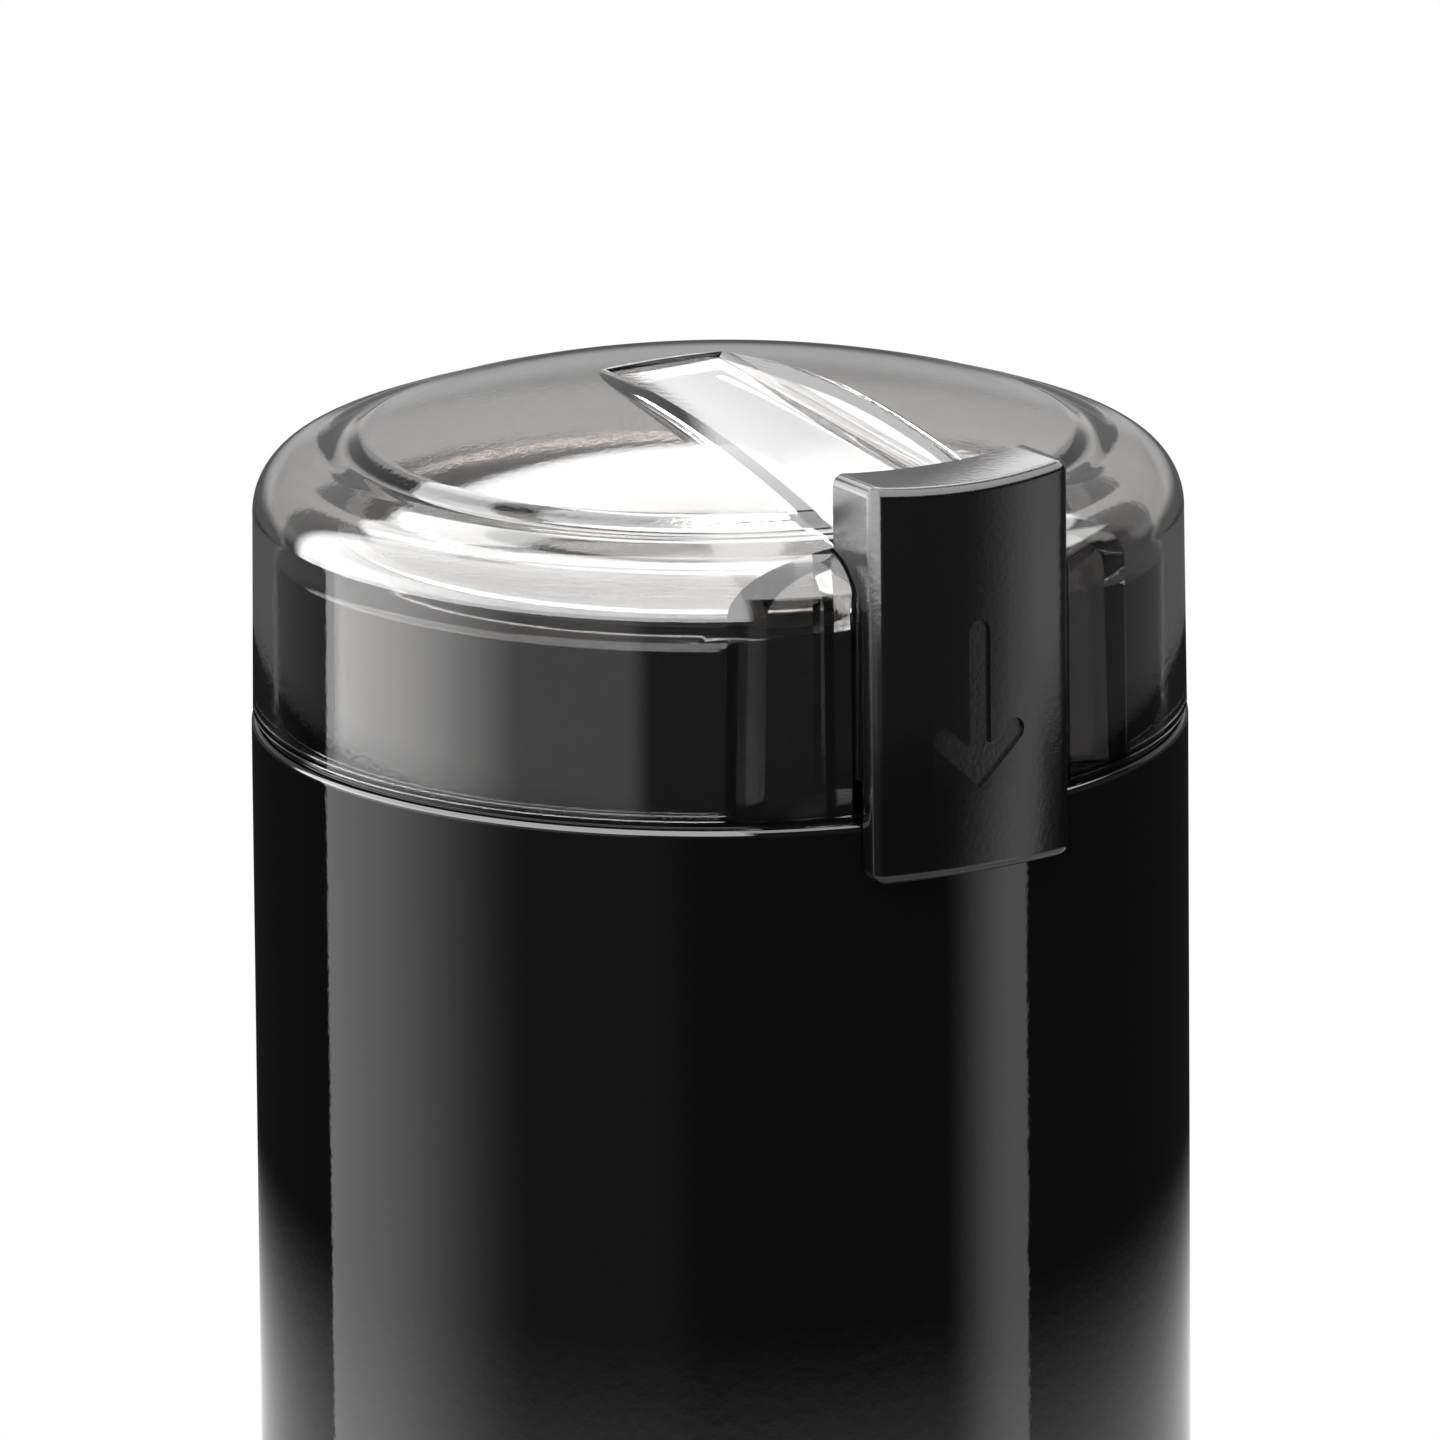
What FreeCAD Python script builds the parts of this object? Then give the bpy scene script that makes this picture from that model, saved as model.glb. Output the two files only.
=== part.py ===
# Electric spice grinder: a round motor housing, a smoked lid that lifts off,
# and a tall push button that slides in a channel in the front of the lid.
# Millimetres. The motor's axis is Z, the floor is z = 0 and the button is at -Y.
import FreeCAD, Part
import math
import os
from FreeCAD import Vector

os.makedirs("parts", exist_ok=True)

# Housing
body_radius = 44.13
body_wall = 2.2
ground_gap = 1.5
body_height = 131.8
rim_round = 1.0
ledge_thickness = 2.0
seam_gap = 0.7
seat_inset = 0.83
neck_height = 17.2
neck_wall = 2.0
neck_front_wall = 1.8
neck_land = 1.9
neck_clearance = 0.5
neck_flat_clearance = 0.4
boss_rib_thickness = 1.6
joint_fit = 0.05
base_ring_height = 18.2
base_joint_depth = 1.5

# Lid
lid_step = 0.13
lid_draft = 0.2
lid_height = 31.6
lid_wall = 1.9
dome_radius = 113.0
shoulder_radius = 5.7
rim_step_height = 1.2
rim_step_depth = 0.3

# Finger groove in the lid's dome, from past the centre down to the button
groove_back = 9.6
groove_back_half_width = 6.4
groove_front_half_width = 8.6
groove_back_depth = 0.5
groove_front_depth = 0.6
groove_side_slant = 0.45
groove_round = 0.8

# Button and its channel
button_width = 21.5
button_above_lid = 0.1
button_below_seam = 6.3
button_front_wall = 2.02
button_wall = 2.0
button_edge_round = 0.9
button_top_dish = 0.6
button_travel = 3.0
channel_depth = 6.1
channel_clearance = 0.25
chord_wall = 1.7
channel_wall = 2.0
moving_gap = 0.3

# Arrow on the button, in heights above the seam
arrow_point = 1.9
arrow_top = 18.0
arrow_stroke = 2.3
arrow_arm_reach = 3.8
arrow_arm_rise = 5.1
arrow_head_half = 1.6
arrow_depth = 0.35

# Push leg, guide and springs of the button
leg_half_width = 1.5
leg_thickness = 2.0
leg_depth_in_ledge = 2.4
leg_rib_thickness = 1.6
guide_height = 3.0
guide_thickness = 2.0
guide_gap = 0.35
guide_post_height = 3.0
guide_post_gap = 0.3
spring_shelf_height = 19.0
spring_shelf_thickness = 1.5
button_spring_offset = 5.4
button_spring_radius = 2.2
button_spring_wire = 0.6
button_spring_turns = 7

# Bowl
bowl_depth = 50.5
bowl_wall = 0.6
bowl_flange = 1.6
bowl_corner = 11.0
bowl_clearance = 0.3
gasket_thickness = 0.8

# Plate between the motor and the bowl
mount_plate_thickness = 3.0
mount_plate_clearance = 0.6
mount_screw_inset = 5.13
mount_boss_radius = 2.6
bowl_seat_height = 1.9
bowl_seat_radius = 14.0
blind_hole_skin = 1.0
seal_radius = 4.5
seal_flange_radius = 6.5
seal_flange_thickness = 1.0
seal_below_bowl = 3.9

# Motor
shaft_radius = 2.5
shaft_end_radius = 2.0
shaft_end_rise = 0.6
shaft_below_bearing = 1.0
running_fit = 0.05
bearing_radius = 6.0
bearing_length = 6.0
bearing_wall = 2.0
bearing_rim = 1.0
bush_radius = 3.5
bush_height = 6.0
bush_gap = 5.0
bracket_thickness = 3.0
bracket_half_width = 6.0
bracket_leg_narrowing = 1.0
bracket_leg_inset = 2.6
upper_leg_height = 15.5
lower_leg_height = 24.5
bolt_radius = 1.5
bolt_clearance = 0.1
bolt_head_height = 2.0
bolt_end = 3.0
nut_width_ratio = 1.8
bolt_nut_height = 2.4
stator_length = 22.0
stator_half_y = 24.0
stator_frame = 6.0
stator_corner = 6.0
air_gap = 0.5
armature_radius = 15.0
armature_slots = 12
slot_radius = 1.8
slot_inset = 4.0
slot_mouth = 1.4
winding_inset = 1.4
winding_gap = 1.5
winding_height = 4.0
pole_half_width = 8.0
pole_shoe_thickness = 2.6
coil_gap = 0.7
coil_thickness = 3.2
coil_width = 4.5
commutator_radius = 9.0
commutator_height = 10.0
commutator_gap = 3.0
commutator_bars = 24
bar_groove_width = 0.4
bar_groove_depth = 0.8
collar_width = 1.0
collar_height = 1.2
fan_clearance = 1.0
fan_gap = 0.7
fan_height = 7.0
fan_disc_thickness = 1.2
fan_blade_thickness = 1.0
fan_blade_inset = 0.5
fan_blades = 9

# Carbon brushes
brush_half_width = 3.0
brush_half_height = 2.5
brush_length = 7.7
brush_gap = 0.3
holder_wall = 1.4
holder_gap = 1.5
holder_length = 13.5
pedestal_inset = 3.0
brush_spring_radius = 1.6
brush_spring_wire = 0.4
brush_spring_turns = 4

# Blade
blade_clearance = 3.4
blade_thickness = 1.2
blade_tip_clearance = 6.0
blade_half_width = 5.0
blade_bend_up = 14.0
blade_bend_down = 5.0
nut_across_flats = 7.0
nut_height = 3.6
nut_dome_height = 1.2
nut_dome_round = 1.0

# Base cover and feet
cover_thickness = 2.5
cover_recess = 0.5
cover_clearance = 0.15
cover_screw_inset = 3.33
cover_boss_radius = 3.6
cover_boss_height = 12.0
foot_radius = 5.0
foot_round = 0.4
foot_inset = 10.93
foot_spigot_radius = 1.8
foot_barb = 0.6
foot_barb_height = 1.2
vent_count = 7
vent_width = 2.0
vent_pitch = 4.5
vent_length = 24.0

# Screws
screw_radius = 1.4
screw_head_radius = 2.6
screw_head_height = 1.6
screw_slot_width = 0.7
screw_depth = 8.0
screw_end_gap = 1.0
screw_clearance = 0.1

# Switch, plunger and its spring
plunger_stem_radius = 1.0
plunger_flange_half = 1.9
plunger_flange_height = 1.3
plunger_spring_length = 5.5
plunger_spring_radius = 1.7
plunger_spring_wire = 0.4
plunger_spring_turns = 4
bracket_sheet = 0.7
bracket_margin = 0.5
bracket_foot = 4.5
stem_below_roof = 1.1
switch_half_width = 6.4
switch_depth = 6.0
switch_height = 6.5
switch_button_height = 1.2
switch_button_radius = 0.9
switch_screw_offset = 3.25
switch_screw_height = 2.0
switch_screw_radius = 0.9
switch_screw_head_radius = 1.6
switch_screw_head_height = 0.5
terminal_length = 2.6
terminal_pitch = 5.0
terminal_half_width = 1.1
terminal_thickness = 0.8

# Mains inlet and the electrical parts on the base cover
gland_height = 12.0
gland_bore = 3.6
gland_radius = 5.4
gland_flange_radius = 7.5
gland_inner_flange = 2.0
block_half_width = 8.0
block_depth = 7.0
block_height = 9.0
block_inset = 15.93
block_screw_radius = 1.6
block_screw_depth = 4.0
block_entry_radius = 1.3
block_entry_height = 3.0
capacitor_length = 15.0
capacitor_width = 8.0
capacitor_height = 13.0
capacitor_inset = 11.93
capacitor_offset = 8.0
capacitor_round = 1.0

# How far a cut runs past the piece, and how far joined features run into each other
past = 1.0
root = 0.5

# Places that follow from the driving dimensions
ledge_top = ground_gap + body_height
ledge_bottom = ledge_top - ledge_thickness
seam = ledge_top + seam_gap
neck_top = ledge_top + neck_height
body_inner_radius = body_radius - body_wall
seat_ring_radius = body_radius - seat_inset
base_ring_top = ground_gap + base_ring_height
base_joint_radius = body_radius - body_wall / 2
lid_radius = body_radius - lid_step
lid_top_radius = lid_radius - lid_draft
lid_inner_radius = lid_radius - lid_wall
lid_top = seam + lid_height
neck_radius = lid_inner_radius - neck_clearance
channel_back = lid_radius - channel_depth
chord_rear = channel_back - chord_wall
neck_flat = chord_rear - neck_flat_clearance
button_half_width = button_width / 2
channel_half_width = button_half_width + channel_clearance
return_wall_outer = channel_half_width + channel_wall
button_back = channel_back + moving_gap
button_top = lid_top + button_above_lid
button_bottom = seam - button_below_seam
apron_radius = body_radius + moving_gap
button_front_radius = apron_radius + button_front_wall
button_skirt_bottom = seam + button_travel + moving_gap
button_roof = button_top - button_wall - button_top_dish
button_inner_half = button_half_width - button_wall
leg_back = button_back
leg_front = leg_back + leg_thickness
leg_end = ledge_top - leg_depth_in_ledge
guide_bottom = seam + guide_height
guide_top = guide_bottom + guide_thickness
shelf_bottom = seam + spring_shelf_height
bowl_hole_radius = neck_flat - neck_land
bowl_outer_radius = bowl_hole_radius - bowl_clearance
bowl_radius = bowl_outer_radius - bowl_wall
bowl_flange_radius = bowl_outer_radius + bowl_flange
bowl_rim_bottom = neck_top + gasket_thickness
bowl_rim_top = bowl_rim_bottom + bowl_wall
bowl_floor_bottom = bowl_rim_top - bowl_depth
bowl_floor_top = bowl_floor_bottom + bowl_wall
mount_plate_top = bowl_floor_bottom - bowl_seat_height
mount_plate_bottom = mount_plate_top - mount_plate_thickness
mount_plate_radius = body_inner_radius - mount_plate_clearance
mount_screw_circle = body_inner_radius - mount_screw_inset
hub_radius = bearing_radius + bearing_wall
bush_offset = hub_radius + bush_gap
upper_bracket_top = mount_plate_bottom - bush_height
upper_bracket_bottom = upper_bracket_top - bracket_thickness
upper_bearing_bottom = upper_bracket_top - bearing_length
stator_top = upper_bracket_bottom - upper_leg_height
stator_bottom = stator_top - stator_length
lower_bracket_top = stator_bottom - lower_leg_height
lower_bracket_bottom = lower_bracket_top - bracket_thickness
lower_bearing_bottom = lower_bracket_top - bearing_length
bolt_offset = stator_half_y - stator_frame / 2
bracket_leg_inner = bolt_offset - bracket_leg_inset
stator_bore = armature_radius + air_gap
pole_outer = stator_bore + pole_shoe_thickness
coil_inner = pole_outer + coil_gap
window_half_x = coil_inner + coil_thickness
window_half_y = stator_half_y - stator_frame
stator_half_x = window_half_x + stator_frame
shaft_bore = shaft_radius + running_fit
slot_circle = armature_radius - slot_inset
winding_radius = armature_radius - winding_inset
commutator_top = stator_bottom - winding_height - commutator_gap
commutator_bottom = commutator_top - commutator_height
brush_height = (commutator_top + commutator_bottom) / 2
brush_tip = commutator_radius + brush_gap
holder_start = commutator_radius + holder_gap
holder_end = holder_start + holder_length
fan_radius = bracket_leg_inner - fan_clearance
fan_top = upper_bearing_bottom - fan_gap
fan_bottom = fan_top - fan_height
blade_bottom = bowl_floor_top + blade_clearance
blade_top = blade_bottom + blade_thickness
blade_half_length = bowl_radius - blade_tip_clearance
nut_top = blade_top + nut_height
shaft_end = nut_top + shaft_end_rise
cover_bottom = ground_gap + cover_recess
cover_top = cover_bottom + cover_thickness
cover_radius = body_inner_radius - cover_clearance
cover_screw_circle = body_inner_radius - cover_screw_inset
foot_circle = body_inner_radius - foot_inset
plunger_offset = (leg_back + leg_front) / 2
plunger_top = leg_end - moving_gap
plunger_flange_bottom = plunger_top - plunger_flange_height
switch_bracket_top = plunger_flange_bottom - plunger_spring_length
stem_end = switch_bracket_top - bracket_sheet - stem_below_roof
switch_top = stem_end - moving_gap - button_travel - switch_button_height
switch_bottom = switch_top - switch_height
switch_bracket_back = bowl_outer_radius + bowl_clearance
switch_back = switch_bracket_back + bracket_sheet
switch_front = switch_back + switch_depth
gland_face = button_front_radius
block_offset = body_inner_radius - block_inset
capacitor_end = body_inner_radius - capacitor_inset
mount_screw_angles = (90, 210, 330)
cover_screw_angles = (60, 180, 300)
foot_angles = (45, 135, 225, 315)


def save(shape, node):
    """Write one sub-part, checked to be sound, to its own file."""
    clean = shape.removeSplitter()
    if not clean.isValid():
        raise ValueError(node + " is not a valid solid")
    print(node, "solids", len(clean.Solids), "volume", round(clean.Volume, 1))
    clean.exportStep("parts/" + node + ".step")


def cylinder(radius, bottom, top, x=0.0, y=0.0):
    return Part.makeCylinder(radius, top - bottom, Vector(x, y, bottom))


def ring(inner, outer, bottom, top, x=0.0, y=0.0):
    return cylinder(outer, bottom, top, x, y).cut(cylinder(inner, bottom - 1, top + 1, x, y))


def block(x_low, x_high, y_low, y_high, z_low, z_high):
    size = (x_high - x_low, y_high - y_low, z_high - z_low)
    return Part.makeBox(*size, Vector(x_low, y_low, z_low))


def polar(radius, degrees):
    angle = math.radians(degrees)
    return radius * math.cos(angle), radius * math.sin(angle)


def turned(edges):
    """Turn a closed half-section, drawn in X and Z, about the Z axis."""
    face = Part.Face(Part.Wire(edges))
    return face.revolve(Vector(0, 0, 0), Vector(0, 0, 1), 360)


def edges_on_circle(shape, radius, height):
    """The round edges of a turned shape that lie at one radius and height."""
    found = []
    for edge in shape.Edges:
        curve = edge.Curve
        if isinstance(curve, Part.Circle) and abs(curve.Radius - radius) < 1e-4:
            if abs(curve.Center.z - height) < 1e-4:
                found.append(edge)
    return found


def arc_to(start, heading, end, heading_at_end):
    """One arc between two points whose directions meet it."""
    middle = (start + end) / 2
    half_turn = heading.getAngle(heading_at_end) / 2
    half_chord = (end - start).Length / 2
    bulge = heading - heading_at_end
    rise = half_chord * math.tan(half_turn / 2)
    return Part.Arc(start, middle + bulge.normalize() * rise, end).toShape()


def wound_spring(radius, wire, turns, length):
    """A coil spring along Z from z = 0, swept along arcs of under a quarter turn."""
    rise = length - wire
    steps = 4 * turns

    def on_helix(share):
        angle = 2 * math.pi * turns * share
        place = Vector(radius * math.cos(angle), radius * math.sin(angle), wire / 2 + rise * share)
        around = 2 * math.pi * turns * radius
        heading = Vector(-around * math.sin(angle), around * math.cos(angle), rise)
        return place, heading.normalize()

    arcs = []
    for index in range(steps):
        start, heading = on_helix(index / steps)
        end, heading_at_end = on_helix((index + 1) / steps)
        between = end - start
        both = heading + heading_at_end
        square = 2 * (heading.dot(heading_at_end) - 1)
        along = between.dot(both)
        reach = (along - math.sqrt(along ** 2 - square * between.dot(between))) / square
        first = start + heading * reach
        second = end - heading_at_end * reach
        joint = (first + second) / 2
        heading_at_joint = (second - first).normalize()
        arcs.append(arc_to(start, heading, joint, heading_at_joint))
        arcs.append(arc_to(joint, heading_at_joint, end, heading_at_end))
    path = Part.Wire(arcs)
    start, heading = on_helix(0)
    section = Part.Wire(Part.makeCircle(wire / 2, start, heading))
    print("spring: least gap between its turns", round(least_gap(arcs, steps // turns) - wire, 3))
    return path.makePipeShell([section], True, False)


def least_gap(arcs, steps_per_turn):
    """Least distance between points of a coil's path that are about a turn apart."""
    points = [edge.discretize(5)[:4] for edge in arcs]
    points = [point for some in points for point in some]
    turn = 8 * steps_per_turn
    nearest = math.inf
    for index, point in enumerate(points):
        for other in points[index + 3 * turn // 4:index + 5 * turn // 4]:
            nearest = min(nearest, (point - other).Length)
    return nearest


def screw(x, y, head_bottom, length):
    """A pan-head screw that points up from its head, with a cross slot."""
    head_top = head_bottom + screw_head_height
    slot_half = screw_slot_width / 2
    slot_top = head_bottom + screw_head_height / 2
    reach = 0.7 * screw_head_radius
    body = cylinder(screw_head_radius, head_bottom, head_top, x, y)
    body = body.fuse(cylinder(screw_radius, head_top, head_top + length, x, y))
    for half_x, half_y in ((slot_half, reach), (reach, slot_half)):
        slot = block(x - half_x, x + half_x, y - half_y, y + half_y, head_bottom - past, slot_top)
        body = body.cut(slot)
    return body


# Housing

def make_body_shell():
    """The moulded housing: a tube with a rounded rim, a step for the bowl carrier and a spigot below."""
    shell = cylinder(body_radius, base_ring_top, ledge_top)
    shell = shell.makeFillet(rim_round, edges_on_circle(shell, body_radius, ledge_top))
    spigot_end = base_ring_top - base_joint_depth + joint_fit
    shell = shell.fuse(cylinder(base_joint_radius, spigot_end, base_ring_top + root))
    shell = shell.cut(cylinder(body_inner_radius, ground_gap, ledge_top + past))
    return shell.cut(cylinder(seat_ring_radius + joint_fit, ledge_bottom, ledge_top + past))


def make_base_ring():
    """The moulded ring below the housing, with the screw bosses and the cord's inlet."""
    base = ring(body_inner_radius, body_radius, ground_gap, base_ring_top)
    base = base.cut(cylinder(base_joint_radius + joint_fit, base_ring_top - base_joint_depth,
                             base_ring_top + past))
    for angle in cover_screw_angles:
        x, y = polar(cover_screw_circle, angle)
        boss = cylinder(cover_boss_radius, cover_top, cover_top + cover_boss_height, x, y)
        boss = boss.common(cylinder(body_inner_radius + root, ground_gap, base_ring_top))
        hole = cylinder(screw_radius, cover_top - past, cover_top + screw_depth, x, y)
        base = base.fuse(boss).cut(hole)
    start = Vector(0, body_radius / 2, gland_height)
    return base.cut(Part.makeCylinder(gland_radius, body_radius, start, Vector(0, 1, 0)))


def make_bowl_carrier():
    """The moulded ring welded into the housing: flange, neck with a front flat, and screw bosses."""
    flange = cylinder(seat_ring_radius, ledge_bottom, ledge_top)
    seat = ring(neck_radius - root, seat_ring_radius, ledge_bottom, seam)
    neck = cylinder(neck_radius, ledge_bottom, neck_top)
    front = block(-body_radius, body_radius, -2 * body_radius, -neck_flat,
                  ledge_bottom - past, neck_top + past)
    carrier = flange.fuse(seat).fuse(neck.cut(front))
    hollow = cylinder(neck_radius - neck_wall, ledge_bottom - past, neck_top - neck_wall)
    front = block(-body_radius, body_radius, -2 * body_radius, -(neck_flat - neck_front_wall),
                  ledge_bottom - 2 * past, neck_top + past)
    carrier = carrier.cut(hollow.cut(front))
    for angle in mount_screw_angles:
        x, y = polar(mount_screw_circle, angle)
        boss = cylinder(mount_boss_radius, mount_plate_top, neck_top - neck_wall + root, x, y)
        rib = block(mount_screw_circle, body_inner_radius - joint_fit, -boss_rib_thickness / 2,
                    boss_rib_thickness / 2, mount_plate_top, ledge_bottom + root)
        rib.rotate(Vector(0, 0, 0), Vector(0, 0, 1), angle)
        hole = cylinder(screw_radius, mount_plate_top - past, mount_plate_top + screw_depth, x, y)
        carrier = carrier.fuse(boss).fuse(rib).cut(hole)
    carrier = carrier.cut(cylinder(bowl_hole_radius, ledge_top - past, neck_top + past))
    leg_hole = block(-leg_half_width - moving_gap, leg_half_width + moving_gap,
                     -leg_front - moving_gap, -leg_back + moving_gap, ledge_bottom - past, seam + past)
    return carrier.cut(leg_hole)


def make_base_cover():
    """The cover that closes the housing from below, with cooling slots."""
    cover = cylinder(cover_radius, cover_bottom, cover_top)
    for index in range(vent_count):
        x = (index - (vent_count - 1) / 2) * vent_pitch
        slot = block(x - vent_width / 2, x + vent_width / 2, -vent_length / 2, vent_length / 2,
                     cover_bottom - past, cover_top + past)
        cover = cover.cut(slot)
    for angle in cover_screw_angles:
        x, y = polar(cover_screw_circle, angle)
        head_pocket = cylinder(screw_head_radius + screw_clearance, cover_bottom - past,
                               cover_bottom + screw_head_height, x, y)
        hole = cylinder(screw_radius + screw_clearance, cover_bottom - past, cover_top + past, x, y)
        cover = cover.cut(head_pocket).cut(hole)
    for angle in foot_angles:
        x, y = polar(foot_circle, angle)
        cover = cover.cut(cylinder(foot_spigot_radius, cover_bottom - past, cover_top + past, x, y))
    return cover


def make_base_screws():
    screws = []
    for angle in cover_screw_angles:
        x, y = polar(cover_screw_circle, angle)
        length = cover_thickness - screw_head_height + screw_depth - screw_end_gap
        screws.append(screw(x, y, cover_bottom, length))
    return Part.makeCompound(screws)


def make_rubber_feet():
    feet = []
    for angle in foot_angles:
        x, y = polar(foot_circle, angle)
        pad = cylinder(foot_radius, 0, cover_bottom, x, y)
        pad = pad.makeFillet(foot_round, [edge for edge in pad.Edges if abs(edge.BoundBox.ZMax) < 1e-6])
        spigot = cylinder(foot_spigot_radius, cover_bottom, cover_top, x, y)
        barb = cylinder(foot_spigot_radius + foot_barb, cover_top, cover_top + foot_barb_height, x, y)
        feet.append(pad.fuse(spigot).fuse(barb))
    return Part.makeCompound(feet)


def make_cord_gland():
    """The rubber gland in the back wall, with flanges that follow the wall."""
    along = Vector(0, 1, 0)
    inner_face = body_inner_radius - gland_inner_flange
    start = Vector(0, inner_face - 2 * past, gland_height)
    length = gland_face - start.y
    wide = Part.makeCylinder(gland_flange_radius, length, start, along)
    tube = Part.makeCylinder(gland_radius, length, start, along)
    wall = ring(body_inner_radius, body_radius, ground_gap, ledge_top)
    gland = wide.cut(wall).fuse(tube)
    gland = gland.cut(cylinder(inner_face, ground_gap, ledge_top))
    bore_start = Vector(0, start.y - length / 2, gland_height)
    return gland.cut(Part.makeCylinder(gland_bore, 2 * length, bore_start, along))


# Bowl

def make_grinding_bowl():
    """The steel bowl: turned, with a wide round corner and a flange on the neck."""
    outer_corner = bowl_corner + bowl_wall
    diagonal = math.sqrt(0.5)

    def corner(radius):
        centre_x = bowl_radius - bowl_corner
        centre_z = bowl_floor_top + bowl_corner
        low = Vector(centre_x, 0, centre_z - radius)
        middle = Vector(centre_x + radius * diagonal, 0, centre_z - radius * diagonal)
        high = Vector(centre_x + radius, 0, centre_z)
        return low, middle, high

    out_low, out_middle, out_high = corner(outer_corner)
    in_low, in_middle, in_high = corner(bowl_corner)
    first = Vector(seal_radius, 0, bowl_floor_bottom)
    last = Vector(seal_radius, 0, bowl_floor_top)
    edges = [Part.LineSegment(first, out_low).toShape()]
    edges.append(Part.Arc(out_low, out_middle, out_high).toShape())
    rim = [out_high, Vector(bowl_outer_radius, 0, bowl_rim_bottom),
           Vector(bowl_flange_radius, 0, bowl_rim_bottom), Vector(bowl_flange_radius, 0, bowl_rim_top),
           Vector(bowl_radius, 0, bowl_rim_top), in_high]
    edges += [Part.LineSegment(a, b).toShape() for a, b in zip(rim, rim[1:])]
    edges.append(Part.Arc(in_high, in_middle, in_low).toShape())
    edges.append(Part.LineSegment(in_low, last).toShape())
    edges.append(Part.LineSegment(last, first).toShape())
    return turned(edges)


def make_shaft_seal():
    seal = cylinder(seal_radius, bowl_floor_bottom - seal_below_bowl, bowl_floor_top)
    flange = cylinder(seal_flange_radius, bowl_floor_top, bowl_floor_top + seal_flange_thickness)
    return seal.fuse(flange).cut(cylinder(shaft_bore, mount_plate_bottom, blade_bottom))


# Motor

def make_motor_mount_plate():
    """The plate that carries the motor below it and the bowl above it."""
    plate = cylinder(mount_plate_radius, mount_plate_bottom, mount_plate_top)
    plate = plate.fuse(cylinder(bowl_seat_radius, mount_plate_bottom, bowl_floor_bottom))
    plate = plate.cut(cylinder(seal_radius, mount_plate_bottom - past, bowl_floor_bottom + past))
    for angle in mount_screw_angles:
        x, y = polar(mount_screw_circle, angle)
        hole_radius = screw_radius + screw_clearance
        plate = plate.cut(cylinder(hole_radius, mount_plate_bottom - past, mount_plate_top + past, x, y))
    for side in (-1, 1):
        hole_end = mount_plate_top - blind_hole_skin
        plate = plate.cut(cylinder(screw_radius, mount_plate_bottom - past, hole_end, 0, side * bush_offset))
    return plate


def make_mount_screws():
    screws = []
    for angle in mount_screw_angles:
        x, y = polar(mount_screw_circle, angle)
        head_bottom = mount_plate_bottom - screw_head_height
        screws.append(screw(x, y, head_bottom, mount_plate_thickness + screw_depth - screw_end_gap))
    return Part.makeCompound(screws)


def make_motor_bushes():
    bushes = []
    for side in (-1, 1):
        bush = ring(screw_radius, bush_radius, upper_bracket_top, mount_plate_bottom, 0, side * bush_offset)
        bushes.append(bush)
    return Part.makeCompound(bushes)


def make_bush_screws():
    screws = []
    for side in (-1, 1):
        head_bottom = upper_bracket_bottom - screw_head_height
        length = mount_plate_top - blind_hole_skin - upper_bracket_bottom
        screws.append(screw(0, side * bush_offset, head_bottom, length))
    return Part.makeCompound(screws)


def make_stator_core():
    """The laminated iron frame with its two poles along X."""
    core = block(-stator_half_x, stator_half_x, -stator_half_y, stator_half_y,
                 stator_bottom, stator_top)
    upright = [edge for edge in core.Edges if abs(edge.BoundBox.ZLength - stator_length) < 1e-6]
    core = core.makeFillet(stator_corner, upright)
    window = block(-window_half_x, window_half_x, -window_half_y, window_half_y,
                   stator_bottom - past, stator_top + past)
    core = core.cut(window)
    shoes = ring(stator_bore, pole_outer, stator_bottom, stator_top)
    shoe_gap = 0.75 * armature_radius
    across = block(-shoe_gap, shoe_gap, -2 * stator_half_y, 2 * stator_half_y,
                   stator_bottom - past, stator_top + past)
    shoes = shoes.cut(across)
    for side in (-1, 1):
        near = side * (stator_bore + 0.5 * pole_shoe_thickness)
        far = side * (window_half_x + root)
        low, high = sorted((near, far))
        neck = block(low, high, -pole_half_width, pole_half_width, stator_bottom, stator_top)
        neck = neck.cut(cylinder(stator_bore, stator_bottom - past, stator_top + past))
        core = core.fuse(neck)
    core = core.fuse(shoes)
    for side in (-1, 1):
        hole = cylinder(bolt_radius + bolt_clearance, stator_bottom - past, stator_top + past,
                        0, side * bolt_offset)
        core = core.cut(hole)
    return core


def make_field_coils():
    """Two copper coils, one round each pole, that stand out of the iron at both ends."""
    coils = []
    for side in (-1, 1):
        low, high = sorted((side * coil_inner, side * window_half_x))
        coil = block(low, high, -pole_half_width - coil_width, pole_half_width + coil_width,
                     stator_bottom - coil_width, stator_top + coil_width)
        hole = block(low - past, high + past, -pole_half_width, pole_half_width, stator_bottom, stator_top)
        edges = [edge for edge in coil.Edges if abs(edge.BoundBox.XLength - coil_thickness) < 1e-6]
        coils.append(coil.makeFillet(0.6 * coil_width, edges).cut(hole))
    return Part.makeCompound(coils)


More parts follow.
